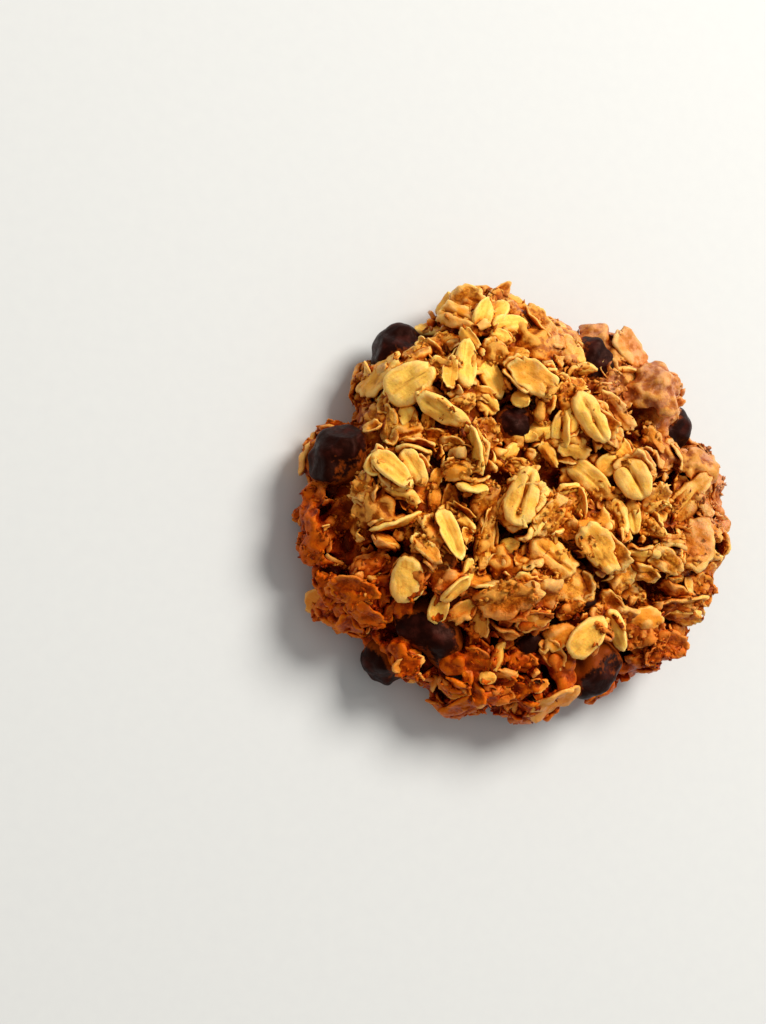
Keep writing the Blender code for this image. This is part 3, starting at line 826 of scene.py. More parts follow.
# %% Laps of dough
Lap = namedtuple("Lap", "across down radius lift")
LAPS = [
    Lap(*row)
    for row in (
        (656, 383, 3.7, 0.7), (661, 400, 2.7, 0.8), (643, 395, 2.7, 0.6), (594, 336, 2.6, 0.6),
        (573, 339, 1.8, 0.2), (614, 338, 1.8, 0.2), (534, 345, 3.0, 0.1), (699, 468, 2.8, 0.2),
        (376, 414, 1.6, 0.1), (322, 572, 2.0, 0.5), (314, 518, 2.0, 0.6), (514, 439, 1.7, 0.1),
        (538, 410, 1.4, 0.2), (404, 606, 1.8, 0.2), (454, 662, 2.0, 0.4), (558, 662, 2.2, 0.6),
        (561, 680, 2.2, 0.9), (624, 664, 1.6, 0.3), (400, 650, 1.6, 0.3), (376, 508, 2.6, 0.1),
        (500, 560, 1.8, 0.2), (664, 455, 2.4, 0.2), (608, 690, 1.5, 0.2),
    )
]


# %% [markdown]
# Each listed flake is set on the mound where the camera's ray meets it. It faces half towards the
# camera and half the way the dough faces, so that it lies snugly on a slope.

# %% Set the listed flakes
COATED = 0.95
PLUMP, FLAT = 0.85, 0.45
LONG_ENOUGH, FACES_US = 4.5, 0.6


def turned(thing):
    """Turned by its heading, after it is rolled about its length."""
    heading = Matrix.Rotation(math.radians(thing.heading), 3, "Z")
    return heading @ Matrix.Rotation(math.radians(thing.roll), 3, "X")


def set_flake(seen):
    at = seen_at(seen.across, seen.down)
    normal = outward(at[None])[0]
    facing = unit(to_camera + normal)
    right = unit(picture_right - facing * (picture_right @ facing))
    base = Matrix((right, np.cross(facing, right), facing)).transposed()
    at = at + normal * seen.lift
    sizes = (seen.length, seen.width, seen.crease, seen.coating)
    return Flake(at, np.array(base @ turned(seen)), *sizes, PLUMP if seen.crease > 0.4 else FLAT, 1.0, 1.0)


def plate_under(flake, rng):
    """A second, more smeared plate that shows beside a flake, as flakes stick together in pairs."""
    turn = flake.turn @ np.array(Matrix.Rotation(rng.uniform(-0.6, 0.6), 3, "Z"))
    aside = (rng.uniform(-1.0, 1.0), rng.choice((-1, 1)) * rng.uniform(0.4, 1.0), -rng.uniform(0.5, 0.9))
    at = flake.at + flake.turn @ np.array(aside)
    smeared, torn = rng.uniform(0.4, 0.9), rng.uniform(0.3, 1.0)
    return flake._replace(at=at, turn=turn, crease=0.1, coating=smeared, plump=0.3, curl=1.6, torn=torn)


picture_flakes = [set_flake(seen) for seen in PICTURE_OATS]
under_rng = np.random.default_rng(37)
picture_facing = outward(np.array([flake.at for flake in picture_flakes])) @ to_camera
under_flakes = [
    plate_under(flake, under_rng)
    for flake, facing in zip(picture_flakes, picture_facing)
    if flake.length > LONG_ENOUGH and facing > FACES_US
]
pit_places = [seen_at(pit.across, pit.down) for pit in PITS]
lap_places = [seen_at(lap.across, lap.down) for lap in LAPS]
on_face = outward(np.array([flake.at for flake in strewn])) @ to_camera > 0.0
picture_spots = np.array([flake.at for flake in picture_flakes])


def room_left(flake, picture_room, pit_room):
    apart = np.linalg.norm(picture_spots - flake.at, axis=1).min()
    from_pit = min(np.linalg.norm(place - flake.at) - pit.radius for place, pit in zip(pit_places, PITS))
    from_lap = min(np.linalg.norm(place - flake.at) - lap.radius for place, lap in zip(lap_places, LAPS))
    return apart > picture_room and min(from_pit, from_lap) > pit_room


strewn = [flake for flake, face in zip(strewn, on_face) if not face or room_left(flake, 3.6, 0.8)]
print(len(picture_flakes), "flakes are set by the picture, and", len(strewn), "strewn ones stay")

# %% [markdown]
# The solid has only the flakes that its triangles allow. Between them lie smaller and more broken
# ones, sunk deeper, which fill the gaps down to the dough.

# %% Smaller flakes between them
FILL_SPACING = 3.4
FILL_TRIES = 9000
BIT_TRIES = 20000
BIT_SPACING = 1.75
ROOM_ROUND_SEEN = 3.0
BROKEN_LENGTH, BROKEN_SHARE = (4.8, 7.8), (0.55, 0.75)
BIT_LENGTH, BIT_SHARE = (1.6, 3.8), (0.45, 0.8)


def broken_oat():
    torn = oat_rng.choice((1.0, oat_rng.uniform(0.0, 0.6), oat_rng.uniform(0.2, 0.8)))
    return oat_rng.uniform(0.0, 0.7), oat_rng.uniform(0.15, 0.9), oat_rng.uniform(0.3, 0.6), torn, 1.2


def bit_of_oat():
    crease, coating = oat_rng.uniform(0.0, 0.4), oat_rng.uniform(0.1, 0.9)
    return crease, coating, oat_rng.uniform(0.2, 0.45), oat_rng.uniform(0.0, 0.7), 1.3


def sunk(flakes, depth):
    """The same flakes, deeper in the dough."""
    down = outward(np.array([flake.at for flake in flakes])) * depth
    return [flake._replace(at=flake.at - step) for flake, step in zip(flakes, down)]


taken = chip_places + [(flake.at, FILL_SPACING) for flake in strewn]
taken += [(flake.at, ROOM_ROUND_SEEN) for flake in picture_flakes]
taken += [(place, pit.radius + 1.2) for place, pit in zip(pit_places, PITS)]
taken += [(place, lap.radius + 1.6) for place, lap in zip(lap_places, LAPS)]
spots = strewn_spots(taken, FILL_SPACING, OAT_SEED + 2, FILL_TRIES, 1.2)
fill = strewn_flakes(spots, 23, BROKEN_LENGTH, BROKEN_SHARE, 65, 40, 0.7, 0.3, broken_oat)
fill = sunk(fill, 0.3)
taken = chip_places + [(flake.at, BIT_SPACING) for flake in picture_flakes + strewn + fill]
taken += [(place, pit.radius + 0.2) for place, pit in zip(pit_places, PITS)]
taken += [(place, lap.radius + 0.4) for place, lap in zip(lap_places, LAPS)]
spots = strewn_spots(taken, BIT_SPACING, OAT_SEED + 3, BIT_TRIES, 0.8)
bits = sunk(strewn_flakes(spots, 29, BIT_LENGTH, BIT_SHARE, 80, 60, 0.6, 0.2, bit_of_oat), 0.2)
print(len(fill), "smaller flakes and", len(bits), "bits lie between them")

# %% [markdown]
# ## The dough's skin
#
# Sticky dough creeps up the flanks of every flake and hides the joint. To get that, the core of the
# mound and a slightly sunken, slightly larger copy of each flake are voxel remeshed into one skin,
# and the skin is smoothed, so that fillets form where they meet. Some flakes are wholly coated:
# they are part of the skin and show only as soft lumps.

# %% The core of the mound
CORE_SINKS = 0.65
PIT_DEPTH = 2.8
VOXEL = 0.38
SKIN_KEPT = 0.66


def core_mesh():
    """The mound with pits and hollows, cut flat at the tray."""
    bm = bmesh.new()
    bmesh.ops.create_icosphere(bm, subdivisions=6, radius=1.0)
    faces = np.array([[v.index for v in face.verts] for face in bm.faces])
    directions = unit(np.array([v.co for v in bm.verts]) * (1.0, 1.0, DISC_TOP / 2 / DISC_RADIUS))
    bm.free()
    points = reach(directions)
    out = outward(points)
    sink = np.clip(CORE_SINKS + 0.9 * lumps(points, 3.4, 1) + 0.5 * lumps(points, 1.6, 2), -0.2, 3.0)
    shown = in_picture(points)
    facing = smooth_step(out @ to_camera, -0.1, 0.2)
    for pit in PITS:
        from_middle = np.hypot(*(shown - (pit.across, pit.down)).T) / PIXELS_PER_MM / pit.radius
        sink = np.maximum(sink, PIT_DEPTH * (1 + 0.2 * pit.radius) * np.exp(-(from_middle**4)) * facing)
    points -= out * sink[:, None]
    under = points[:, 2] < 0
    to_tray = HEART[2] / (HEART[2] - points[under, 2])
    points[under] = HEART + (points[under] - HEART) * to_tray[:, None]
    return points, faces


core = core_mesh()
print("The core has", len(core[1]), "triangles")

# %% [markdown]
# Every shape that goes into the skin is closed, so their union has one outside. A Boolean could
# join them too, but it would keep the sharp joints that we want to lose.

# %% One skin over core and coated flakes
BED_SINKS = 0.42
BED_GROWS = 1.04
SMEARS = 0.35


def bed_of(flake, rng, coated):
    """A coarse copy of the flake, less sunken under it the more dough covers it.

    Smears lift it over parts of the flake, where dough laps over the rim.
    """
    grow = BED_GROWS if coated else 1.0
    raise_by = flake.turn[:, 2] * (0.1 if coated else 0.65 * flake.coating - BED_SINKS)
    length, width, crease = flake.length * grow, flake.width * grow, flake.crease * 0.8
    bed = flake._replace(at=flake.at + raise_by, length=length, width=width, crease=crease)
    points = flake_points(COARSE_NET, rng, bed)[0]
    smears = SMEARS * lumps(points, 2.6, 33)
    return points + smears[:, None] * flake.turn[:, 2], COARSE_NET[3]


def ball_mesh(subdivisions):
    bm = bmesh.new()
    bmesh.ops.create_icosphere(bm, subdivisions=subdivisions, radius=1.0)
    points = np.array([v.co for v in bm.verts])
    faces = np.array([[v.index for v in face.verts] for face in bm.faces])
    bm.free()
    return points, faces


def lap_mesh(lap, seed):
    """A flattened ball of dough."""
    ball, faces = ball_mesh(4)
    at = seen_at(lap.across, lap.down)
    normal = outward(at[None])[0]
    at = at + normal * lap.lift
    flattened = ball - 0.45 * (ball @ normal)[:, None] * normal
    uneven = 1 + 0.16 * lumps(ball * 3, 2.0, seed)
    return at + flattened * (lap.radius * uneven)[:, None], faces


def joined(meshes):
    """Several (points, faces) as one."""
    starts = np.cumsum([0] + [len(points) for points, _ in meshes[:-1]])
    faces = np.concatenate([faces + start for (_, faces), start in zip(meshes, starts)])
    return np.concatenate([points for points, _ in meshes]), faces


def one_skin(meshes):
    """The outside of all these closed meshes together, as points, normals and faces."""
    points, faces = joined(meshes)
    mesh = bpy.data.meshes.new("rough")
    mesh.from_pydata((points * MM).tolist(), [], faces.tolist())
    rough = bpy.data.objects.new("rough", mesh)
    bpy.context.scene.collection.objects.link(rough)
    remesh = rough.modifiers.new("one_skin", "REMESH")
    remesh.mode = "VOXEL"
    remesh.voxel_size = VOXEL * MM
    soften = rough.modifiers.new("fillets", "SMOOTH")
    soften.factor = 0.5
    soften.iterations = 2
    fewer = rough.modifiers.new("fewer_triangles", "DECIMATE")
    fewer.ratio = SKIN_KEPT
    made = rough.evaluated_get(bpy.context.evaluated_depsgraph_get()).to_mesh()
    points = np.empty(len(made.vertices) * 3)
    normals = np.empty(len(made.vertices) * 3)
    made.vertices.foreach_get("co", points)
    made.vertex_normals.foreach_get("vector", normals)
    made.calc_loop_triangles()
    faces = np.empty(len(made.loop_triangles) * 3, int)
    made.loop_triangles.foreach_get("vertices", faces)
    bpy.data.objects.remove(rough, do_unlink=True)
    return points.reshape(-1, 3) / MM, normals.reshape(-1, 3), faces.reshape(-1, 3)


bed_rng = np.random.default_rng(31)
everything = picture_flakes + strewn + fill
coated = [bed_of(flake, bed_rng, True) for flake in everything if flake.coating >= COATED]
beds = [bed_of(flake, bed_rng, False) for flake in everything if flake.coating < COATED]
laps = [lap_mesh(lap, 80 + i) for i, lap in enumerate(LAPS)]
skin, skin_normals, skin_faces = one_skin([core] + laps + coated + beds)
print("The skin has", len(skin_faces), "triangles")

# %% [markdown]
# The skin gets crumbs and pits of one to two millimetres, pushed out along its normals, and it
# stays on the tray. Where chocolate lies, the dough is drawn inwards, so that it meets the chip's
# flank and leaves its outer face bare.

# %% Crumbs and pits, and room for chocolate
CHIP_ROOM = 1.1
CHIP_SINKS_DOUGH = 2.4


def chip_frame(chip):
    return np.array((chip.x, chip.y, chip.z)), np.array(turned(chip))


def chip_size_at(points, chip):
    """Below 1 inside a chip and above 1 outside it."""
    at, turn = chip_frame(chip)
    local = (points - at) @ turn
    halves = np.array((chip.length, chip.width, chip.height)) / 2
    return (np.abs(local / halves) ** chip.squareness).sum(axis=1) ** (1 / chip.squareness)


lapped = np.zeros(len(skin))
for lap, place in zip(LAPS, lap_places):
    from_lap = np.linalg.norm(skin - place, axis=1) / lap.radius
    lapped = np.maximum(lapped, smooth_step(from_lap, 1.3, 1.0))
crumbling = 0.16 * ridges(skin, 1.8, 7) + 0.14 * lumps(skin, 1.1, 8) + 0.06 * lumps(skin, 0.8, 9)
crumbling += lapped * (0.14 * lumps(skin, 2.0, 15) + 0.22 * ridges(skin, 1.5, 16))
skin = skin + skin_normals * crumbling[:, None]
inward = -outward(skin)
bare = (1 - lapped) * smooth_step(lumps(skin, 3.0, 71), -1.0, -0.3)
for chip in CHIPS:
    near = smooth_step(chip_size_at(skin, chip), CHIP_ROOM + 0.1, CHIP_ROOM - 0.25) * bare
    skin = skin + inward * (CHIP_SINKS_DOUGH * near)[:, None]
skin[:, 2] = np.maximum(skin[:, 2], 0.0)

# %% [markdown]
# ## Browning, and painted shade
#
# A cookie browns from the outside in, most at its rim and near the hot tray. Its left and lower side, away
# from the light, are made darker as painted shade, through the same numbers. Its upper right side dried to
# a paler, pinker tan. Two functions give that as numbers for every point of every piece.

# %% How dark it baked, with painted shade, and how dry
COOKIE_RADIUS = 33


def browning_and_shade_at(points):
    """From 0, pale, to 1, darkest: browning, and painted shade on the left and lower side."""
    spread = np.hypot(points[:, 0], points[:, 1]) / COOKIE_RADIUS
    # painted shade: the left and lower side, away from the light, is made darker
    shaded_side = (-0.54 * points[:, 0] - 0.76 * points[:, 1]) / COOKIE_RADIUS
    low_down = smooth_step(points[:, 2], 15, 5)
    amount = 0.6 * smooth_step(shaded_side, 0.0, 0.95) + 0.35 * low_down + 0.2 * spread**3
    # painted shade: the lower side in the picture is made darker still
    amount += 0.46 * smooth_step(-points[:, 1], 4, 26)
    return np.clip(amount + 0.12 * lumps(points, 6.0, 12), 0, 1)


def dryness_at(points):
    """From 0, moist, to 1, where the upper right rim dried."""
    side = (0.8 * points[:, 0] + 0.6 * points[:, 1]) / COOKIE_RADIUS
    return smooth_step(side + 0.12 * lumps(points, 5.0, 13), 0.35, 0.95)


# %% [markdown]
# ## How open each point lies
#
# The gaps get painted shade: the deeper a point lies in a gap, the more its colour is darkened, from
# orange to nearly black. A flake that dips into a gap is also smeared with dough there. So the finish has
# to know how deep in a gap each point is. We look out from every point in a dozen directions and count how
# many are blocked by another surface within a few millimetres. Cycles has a node for this, but worked out
# here it costs the render nothing.

# %% Count the blocked directions
LOOKS = 26
LOOK_REACH = 5.0


def view_tree(meshes):
    points, faces = joined(meshes)
    return BVHTree.FromPolygons(points.tolist(), faces.tolist())


def hidden_share(points, normals, tree):
    """From 0 in the open to 1 where every direction is blocked."""
    index = np.arange(LOOKS) + 0.5
    height = 1 - 2 * index / LOOKS
    circle, turn = np.sqrt(1 - height**2), index * 2.4
    directions = np.stack((circle * np.cos(turn), circle * np.sin(turn), height), axis=1)
    facing = normals @ directions.T
    rays = [Vector(direction) for direction in directions]
    hidden = np.zeros(len(points))
    for i, start in enumerate((points + normals * 0.12).tolist()):
        blocked = total = 0.0
        for k in np.nonzero(facing[i] > 0.15)[0]:
            weight = facing[i, k]
            total += weight
            if tree.ray_cast(start, rays[k], LOOK_REACH)[0] is not None:
                blocked += weight
        hidden[i] = blocked / total if total else 1.0
    return hidden


def normals_of(points, faces):
    corners = points[faces]
    flat = np.cross(corners[:, 1] - corners[:, 0], corners[:, 2] - corners[:, 0])
    normals = np.zeros_like(points)
    for k in range(3):
        np.add.at(normals, faces[:, k], flat)
    return unit(normals)


def bulging(points, faces, normals):
    """Above 0 on ridges and rims and below 0 in creases: how far a point leaves its neighbours, in mm."""
    ends = np.concatenate((faces[:, :2], faces[:, 1:], faces[:, ::2])).T
    count = np.maximum(np.bincount(ends.ravel(), minlength=len(points)), 1)

    def around(values):
        """The mean over each point's neighbours."""
        sums = [
            np.bincount(start, values[end], len(points)) for start, end in (ends, ends[::-1])
        ]
        return sum(sums) / count

    middle = np.stack([around(points[:, axis]) for axis in range(3)], axis=1)
    bulge = ((points - middle) * normals).sum(axis=1)
    for _ in range(2):
        bulge = (bulge + around(bulge)) / 2
    return bulge


# %% [markdown]
# ## The clean flakes
#
# Each clean flake is its own creased shape, joined with others of its kind into one object, because
# a few large meshes are quicker to handle than hundreds of small ones. Every point carries what the
# finish needs: the flake's own tone, how much dough sticks to it, and how deep in the heap it is.

# %% Join the flakes by kind


def flake_mesh(flakes, net, seed):
    """Points, faces and values of many flakes."""
    rng = np.random.default_rng(seed)
    made = [flake_points(net, rng, flake) for flake in flakes if flake.coating < COATED]
    points, faces = joined([(points, net[3]) for points, _ in made])
    return points, faces, {key: np.concatenate([own[key] for _, own in made]) for key in made[0][1]}


flake_meshes = {
    "oats_seen": flake_mesh(picture_flakes, FINE_NET, 40),
    "oats_under": flake_mesh(under_flakes, FINE_NET, 44),
    "oats_whole": flake_mesh(strewn, FINE_NET, 41),
    "oats_broken": flake_mesh(fill, FINE_NET, 42),
    "oat_bits": flake_mesh(bits, COARSE_NET, 43),
}
print("The flakes have", sum(len(mesh[1]) for mesh in flake_meshes.values()), "triangles")

# %% [markdown]
# With all shapes known, the looking out can start. A flake that dips into a gap is smeared there, and
# every gap gets painted shade.
# The dough also learns where a coated flake lies under it, since its pale gold shows through.

# %% Make the dough and the flakes
tree = view_tree([(skin, skin_faces)] + [mesh[:2] for mesh in flake_meshes.values()])
skin_normals = normals_of(skin, skin_faces)
coated_tree = view_tree(coated)
near_flake = np.array([coated_tree.find_nearest(point, 3.0)[3] or 9.0 for point in skin.tolist()])
skin_hidden = hidden_share(skin, skin_normals, tree)
dough_values = {
    "browning_and_shade": browning_and_shade_at(skin),
    "dryness": dryness_at(skin),
    "hollow": skin_hidden,
    "bulge": bulging(skin, skin_faces, skin_normals),
    "flake_below": smooth_step(near_flake, 0.9, 0.3),
}
dough = piece("dough", skin, skin_faces, dough_values, "cookie")
flake_pieces = []
for name, (points, faces, values) in flake_meshes.items():
    normals = normals_of(points, faces)
    smeared = np.minimum(2 * values["coating"], 1)
    values["browning_and_shade"] = browning_and_shade_at(points) * (0.3 + 0.7 * smeared)
    values["dryness"] = dryness_at(points)
    # hollow also sets the painted shade in gaps, weaker on clean flakes
    values["hollow"] = hidden_share(points, normals, tree) * (0.6 + 0.4 * smeared)
    values["bulge"] = bulging(points, faces, normals)
    flake_pieces.append(piece(name, points, faces, values, "cookie"))
    print(name, "has", len(faces), "triangles")

# %% [markdown]
# ## Shreds
#
# Where flakes tore, the dough is covered with shreds of bran and starch a millimetre long, which
# catch the light. Each is a six-sided scrap with a raised middle, and all are worked out at once.

# %% Strew the shreds
SHREDS = 3000
SHRED_LENGTH = (0.4, 1.2)


def shred_piece():
    rng = np.random.default_rng(51)
    open_spots = np.nonzero((skin_normals[:, 2] > 0.25) & (skin_hidden < 0.8) & (lapped < 0.1))[0]
    at = rng.choice(open_spots, SHREDS, replace=False)
    turns = np.arange(6) * math.pi / 3
    radii = rng.uniform(0.45, 1.25, (SHREDS, 6))
    bend = rng.uniform(-0.25, 0.25, (SHREDS, 6))
    rim = np.stack((radii * np.cos(turns), 0.55 * radii * np.sin(turns), bend), axis=2)
    tips = np.broadcast_to(np.array(((0, 0, 0.32), (0, 0, -0.32))), (SHREDS, 2, 3))
    local = np.concatenate((rim, tips), axis=1) * rng.uniform(*SHRED_LENGTH, (SHREDS, 1, 1)) / 1.6
    facing = unit(skin_normals[at] + 0.9 * rng.normal(size=(SHREDS, 3)))
    side = unit(np.cross(facing, rng.normal(size=(SHREDS, 3))))
    frames = np.stack((side, np.cross(facing, side), facing), axis=1)
    points = (local @ frames + (skin[at] + skin_normals[at] * 0.08)[:, None]).reshape(-1, 3)
    points[:, 2] = np.maximum(points[:, 2], ABOVE_TRAY)
    one = [(i, (i + 1) % 6, 6) for i in range(6)] + [((i + 1) % 6, i, 7) for i in range(6)]
    faces = (np.array(one)[None] + 8 * np.arange(SHREDS)[:, None, None]).reshape(-1, 3)
    values = {
        "browning_and_shade": browning_and_shade_at(points),
        "dryness": dryness_at(points),
        "hollow": np.repeat(skin_hidden[at], 8) * 0.8,
        "bulge": np.repeat(rng.uniform(-0.05, 0.06, SHREDS), 8),
        "flake_below": np.repeat(rng.uniform(0, 1, SHREDS), 8),
    }
    return piece("shreds", points, faces, values, "cookie")


shreds = shred_piece()
print("The shreds have", len(shreds.data.polygons), "triangles")

# %% [markdown]
# ## Chocolate
#
# Baking softens a chip: its edges round over, it slumps a little and sets again with a dull skin.
# The shape is a ball whose squareness is set by a power, as in the solid, with finer dents. The
# chunk has a high power, so it keeps flat faces. A few splinters of chocolate also lie in gaps. The
# seed for where dough clings was chosen so that it smears the two lowest chips.

# %% Make each chip
DENT_DEPTH = 0.05
CUT_AT = (0.88, 1.0)
FACETS = 12
DOUGH_CLINGS = 0.3
CLINGING_SEED = 1753
chip_rng = np.random.default_rng(63)

# pixel, length, width, heading in the picture and depth below the dough's face
SPLINTERS = (
    (694, 456, 2.2, 1.5, 10, 0.1),
    (529, 645, 3.8, 3.2, 20, 0.9),
    (586, 603, 3.4, 2.0, 25, 0.9),
    (446, 564, 3.2, 2.4, 10, 1.2),
    (566, 690, 3.4, 3.0, 60, 0.8),
)


def chip_mesh(at, turn, halves, squareness, subdivisions, rng):
    ball, faces = ball_mesh(subdivisions)
    rounded = ball / ((np.abs(ball) ** squareness).sum(axis=1) ** (1 / squareness))[:, None]
    for cut in unit(rng.normal(size=(FACETS, 3))):
        rounded *= np.minimum(1, rng.uniform(*CUT_AT) / np.maximum(rounded @ cut, 0.1))[:, None]
    x, y, z = rounded.T
    dent = 1 + DENT_DEPTH * np.sin(5 * x + 3 * y) * np.cos(4 * z + 2 * x)
    points = (rounded * halves * dent[:, None]) @ turn.T + at
    slump = 0.3 * lumps(points, 2.6, 61) + 0.09 * lumps(points, 1.1, 62)
    points += unit(points - at) * slump[:, None]
    points[:, 2] = np.maximum(points[:, 2], ABOVE_TRAY)
    return points, faces


def chocolate_piece(name, meshes, node):
    points, faces = joined(meshes)
    clinging = DOUGH_CLINGS * lumps(points, 4.0, CLINGING_SEED)
    values = {"hollow": hidden_share(points, normals_of(points, faces), tree) + clinging}
    return piece(name, points, faces, values, node)


chocolates = []
for chip in CHIPS:
    at, turn = chip_frame(chip)
    halves = np.array((chip.length, chip.width, chip.height)) / 2
    mesh = chip_mesh(at, turn, halves, chip.squareness, 5, chip_rng)
    chocolates.append(chocolate_piece("chocolate_" + chip.name.removeprefix("chip_"), [mesh], chip.name))
splinters = []
for across, down, length, width, heading, depth in SPLINTERS:
    flake = set_flake(Seen(across, down, length, width, heading, 0, 0, 0, -depth))
    halves = np.array((length, width, width)) / 2
    splinters.append(chip_mesh(flake.at, flake.turn, halves, 3.0, 3, chip_rng))
chocolates.append(chocolate_piece("chocolate_splinters", splinters, "cookie"))
print(len(chocolates), "pieces of chocolate")

# %% [markdown]
# ## Patterns, coats of colour and relief
#
# All finishes are built in the same way: random patterns of a real size, a base colour with thin
# coats of others over it where a pattern or a measured value says so, and bumps for what is finer
# than the mesh. Each coat is a Map Range node that gives its share and a Mix node that lays it on.

# %% Patterns, coats and relief
SMOOTH = {"interpolation_type": "SMOOTHSTEP"}
COLOURS = {"data_type": "RGBA"}


def start_material(name):
    material = bpy.data.materials.new(name)
    material.use_nodes = True
    return material, material.node_tree.nodes["Principled BSDF"]


def patterns(material, *sizes):
    """Random patterns from 0 to 1. Each size is the width of a feature in mm and the detail in it."""
    where = add(material, "ShaderNodeTexCoord").outputs["Object"]
    for size, detail in sizes:
        inputs = {"Vector": where, "Scale": 1 / (size * MM), "Detail": detail, "Roughness": 0.55}
        yield add(material, "ShaderNodeTexNoise", inputs).outputs["Fac"]


def measured(material, *names):
    """The numbers that the mesh holds for each point."""
    for name in names:
        yield add(material, "ShaderNodeAttribute", attribute_name=name).outputs["Fac"]


def coated_with(material, colour, *coats):
    """Lays coats on a colour, each up to a share where its driver goes from start to end."""
    for driver, start, end, most, coat in coats:
        inputs = {"Value": driver, "From Min": start, "From Max": end, "To Max": most}
        share = add(material, "ShaderNodeMapRange", inputs, **SMOOTH).outputs[0]
        colour = add(material, "ShaderNodeMix", {0: share, 6: colour, 7: coat}, **COLOURS).outputs[2]
    return colour


def relief(material, *heights):
    """Bumps on bumps, each with its strength and its depth in mm."""
    inputs = {}
    for height, strength, depth in heights:
        inputs.update({"Height": height, "Strength": strength, "Distance": depth * MM})
        inputs["Normal"] = add(material, "ShaderNodeBump", inputs).outputs[0]
    return inputs["Normal"]


# %% [markdown]
# ## What the oven does to every colour, and painted shade
#
# The oven browned the rim, and one side dried to a pinker tan. The left and lower side get painted shade
# through the browning numbers. In a gap light bounces from brown to brown and loses its blue and green
# first, so a gap goes orange, then red brown, then black. A ramp over `hollow` paints that shade into the
# colour.

# %% Browned, dried, and painted shade on one side and in gaps
# painted shade: the colour is multiplied from white to nearly black the deeper a point lies in a gap
GAP_SHADE_COLOURS = ((0.1, "#FFFFFF"), (0.36, "#F8CE8C"), (0.62, "#C06C22"), (0.92, "#380E02"))
DRIED = 0.6


def baked_and_shaded(material, colour, hollow):
    browning_and_shade, dryness = measured(material, "browning_and_shade", "dryness")
    # the darker colour of browning, which also paints shade on the left and lower side
    inputs = {0: 1.0, 6: colour, 7: "#DE8C30"}
    browned_and_shaded = add(material, "ShaderNodeMix", inputs, **COLOURS, blend_type="MULTIPLY").outputs[2]
    colour = coated_with(material, colour, (browning_and_shade, 0.1, 1.0, 1.0, browned_and_shaded))
    (blotches,) = patterns(material, (1.4, 3.0))
    tan = coated_with(material, "#9C5634", (blotches, 0.4, 0.6, 1.0, "#D69C78"))
    dried = add(material, "ShaderNodeMix", {0: DRIED, 6: colour, 7: tan}, **COLOURS).outputs[2]
    colour = add(material, "ShaderNodeMix", {0: dryness, 6: colour, 7: dried}, **COLOURS).outputs[2]
    # painted shade in gaps, a ramp over hollow
    gap_shade = add(material, "ShaderNodeValToRGB", {0: hollow})
    stops = gap_shade.color_ramp.elements
    for _ in GAP_SHADE_COLOURS[2:]:
        stops.new(0.5)
    for stop, (position, web_colour) in zip(stops, GAP_SHADE_COLOURS):
        stop.position, stop.color = position, linear(web_colour)
    inputs = {0: 1.0, 6: colour, 7: gap_shade.outputs[0]}
    return add(material, "ShaderNodeMix", inputs, **COLOURS, blend_type="MULTIPLY").outputs[2]


# %% [markdown]
# Food is a dielectric, so metallic stays 0 and the IOR is that of sugar and starch, near 1.45. Its
# brown, uneven skin gives no white mirror shine, so the reflection is weak and warm. Light enters it
# and comes out up to a millimetre away, the red part farthest.

# %% Join a finish to its shader


def finish(material, shader, colour, roughness, normal, scatter):
    """roughness is a driver, its start and end, and the roughness at each."""
    inputs = dict(zip(("Value", "From Min", "From Max", "To Min", "To Max"), roughness))
    roughness = add(material, "ShaderNodeMapRange", inputs, **SMOOTH).outputs[0]
    for socket, value in (("Base Color", colour), ("Roughness", roughness), ("Normal", normal)):
        material.node_tree.links.new(value, shader.inputs[socket])
    shader.inputs["IOR"].default_value = 1.45
    shader.inputs["Specular IOR Level"].default_value = 0.4
    shader.inputs["Specular Tint"].default_value = linear("#E09A56")
    shader.inputs["Subsurface Weight"].default_value = scatter
    shader.inputs["Subsurface Radius"].default_value = (1.0, 0.42, 0.12)
    shader.inputs["Subsurface Scale"].default_value = 1.0 * MM


# %% [markdown]
# ## Material: baked oat dough
#
# Sugar and flour cooked to a satin, slightly sticky brown. What the eye sees is mottled: caramel where
# syrup pooled and paler where it dried. Each small ridge gets a painted highlight, each small crease
# painted shade, and the gaps painted shade down to nearly black. Noises of 3 mm and 0.8 mm mix the browns,
# and one of 0.3 mm is the grit.

# %% Baked oat dough


def baked_dough():
    material, shader = start_material("baked_oat_dough")
    broad, fine, grit = patterns(material, (3.0, 3.0), (0.8, 5.0), (0.3, 3.0))
    flake_below, bulge, hollow = measured(material, "flake_below", "bulge", "hollow")
    pale = add(material, "ShaderNodeMath", {0: flake_below, 1: fine}, operation="MULTIPLY").outputs[0]
    colour = coated_with(
        material,
        "#964809",
        (broad, 0.35, 0.65, 1.0, "#C27019"),
        (fine, 0.52, 0.66, 1.0, "#DE9230"),
        (fine, 0.46, 0.34, 1.0, "#7E3606"),
        (pale, 0.28, 0.6, 1.0, "#E29A3A"),
        # painted shade darkens each small crease, and a painted highlight makes each small ridge paler
        (bulge, -0.01, -0.05, 1.0, "#8A3E06"),
        (bulge, 0.01, 0.05, 0.7, "#F0B04E"),
    )
    colour = baked_and_shaded(material, colour, hollow)
    normal = relief(material, (fine, 0.5, 0.35), (grit, 0.25, 0.2))
    finish(material, shader, colour, (fine, 0.3, 0.7, 0.3, 0.5), normal, 0.2)
    return material


dough_finish = baked_dough()
for obj in (dough, shreds):
    obj.data.materials.append(dough_finish)
print("Dough has", len(dough_finish.node_tree.nodes), "nodes")

# %% [markdown]
# ## Material: toasted rolled oat
#
# Steamed, pressed and toasted grain: golden cream with fine ribs, brown in the groove, paler at the
# thin rim, and smeared with dough where it is sunk. Starch lets light through, so a part of it
# scatters under the surface. The ribs are a noise in the flake's own millimetres, stretched along
# the flake: about two to the millimetre across it.

# %% Toasted rolled oat
RIBS_PER_MM = (0.35, 2.2, 1.0)
DIPPING_SMEARS = 0.75


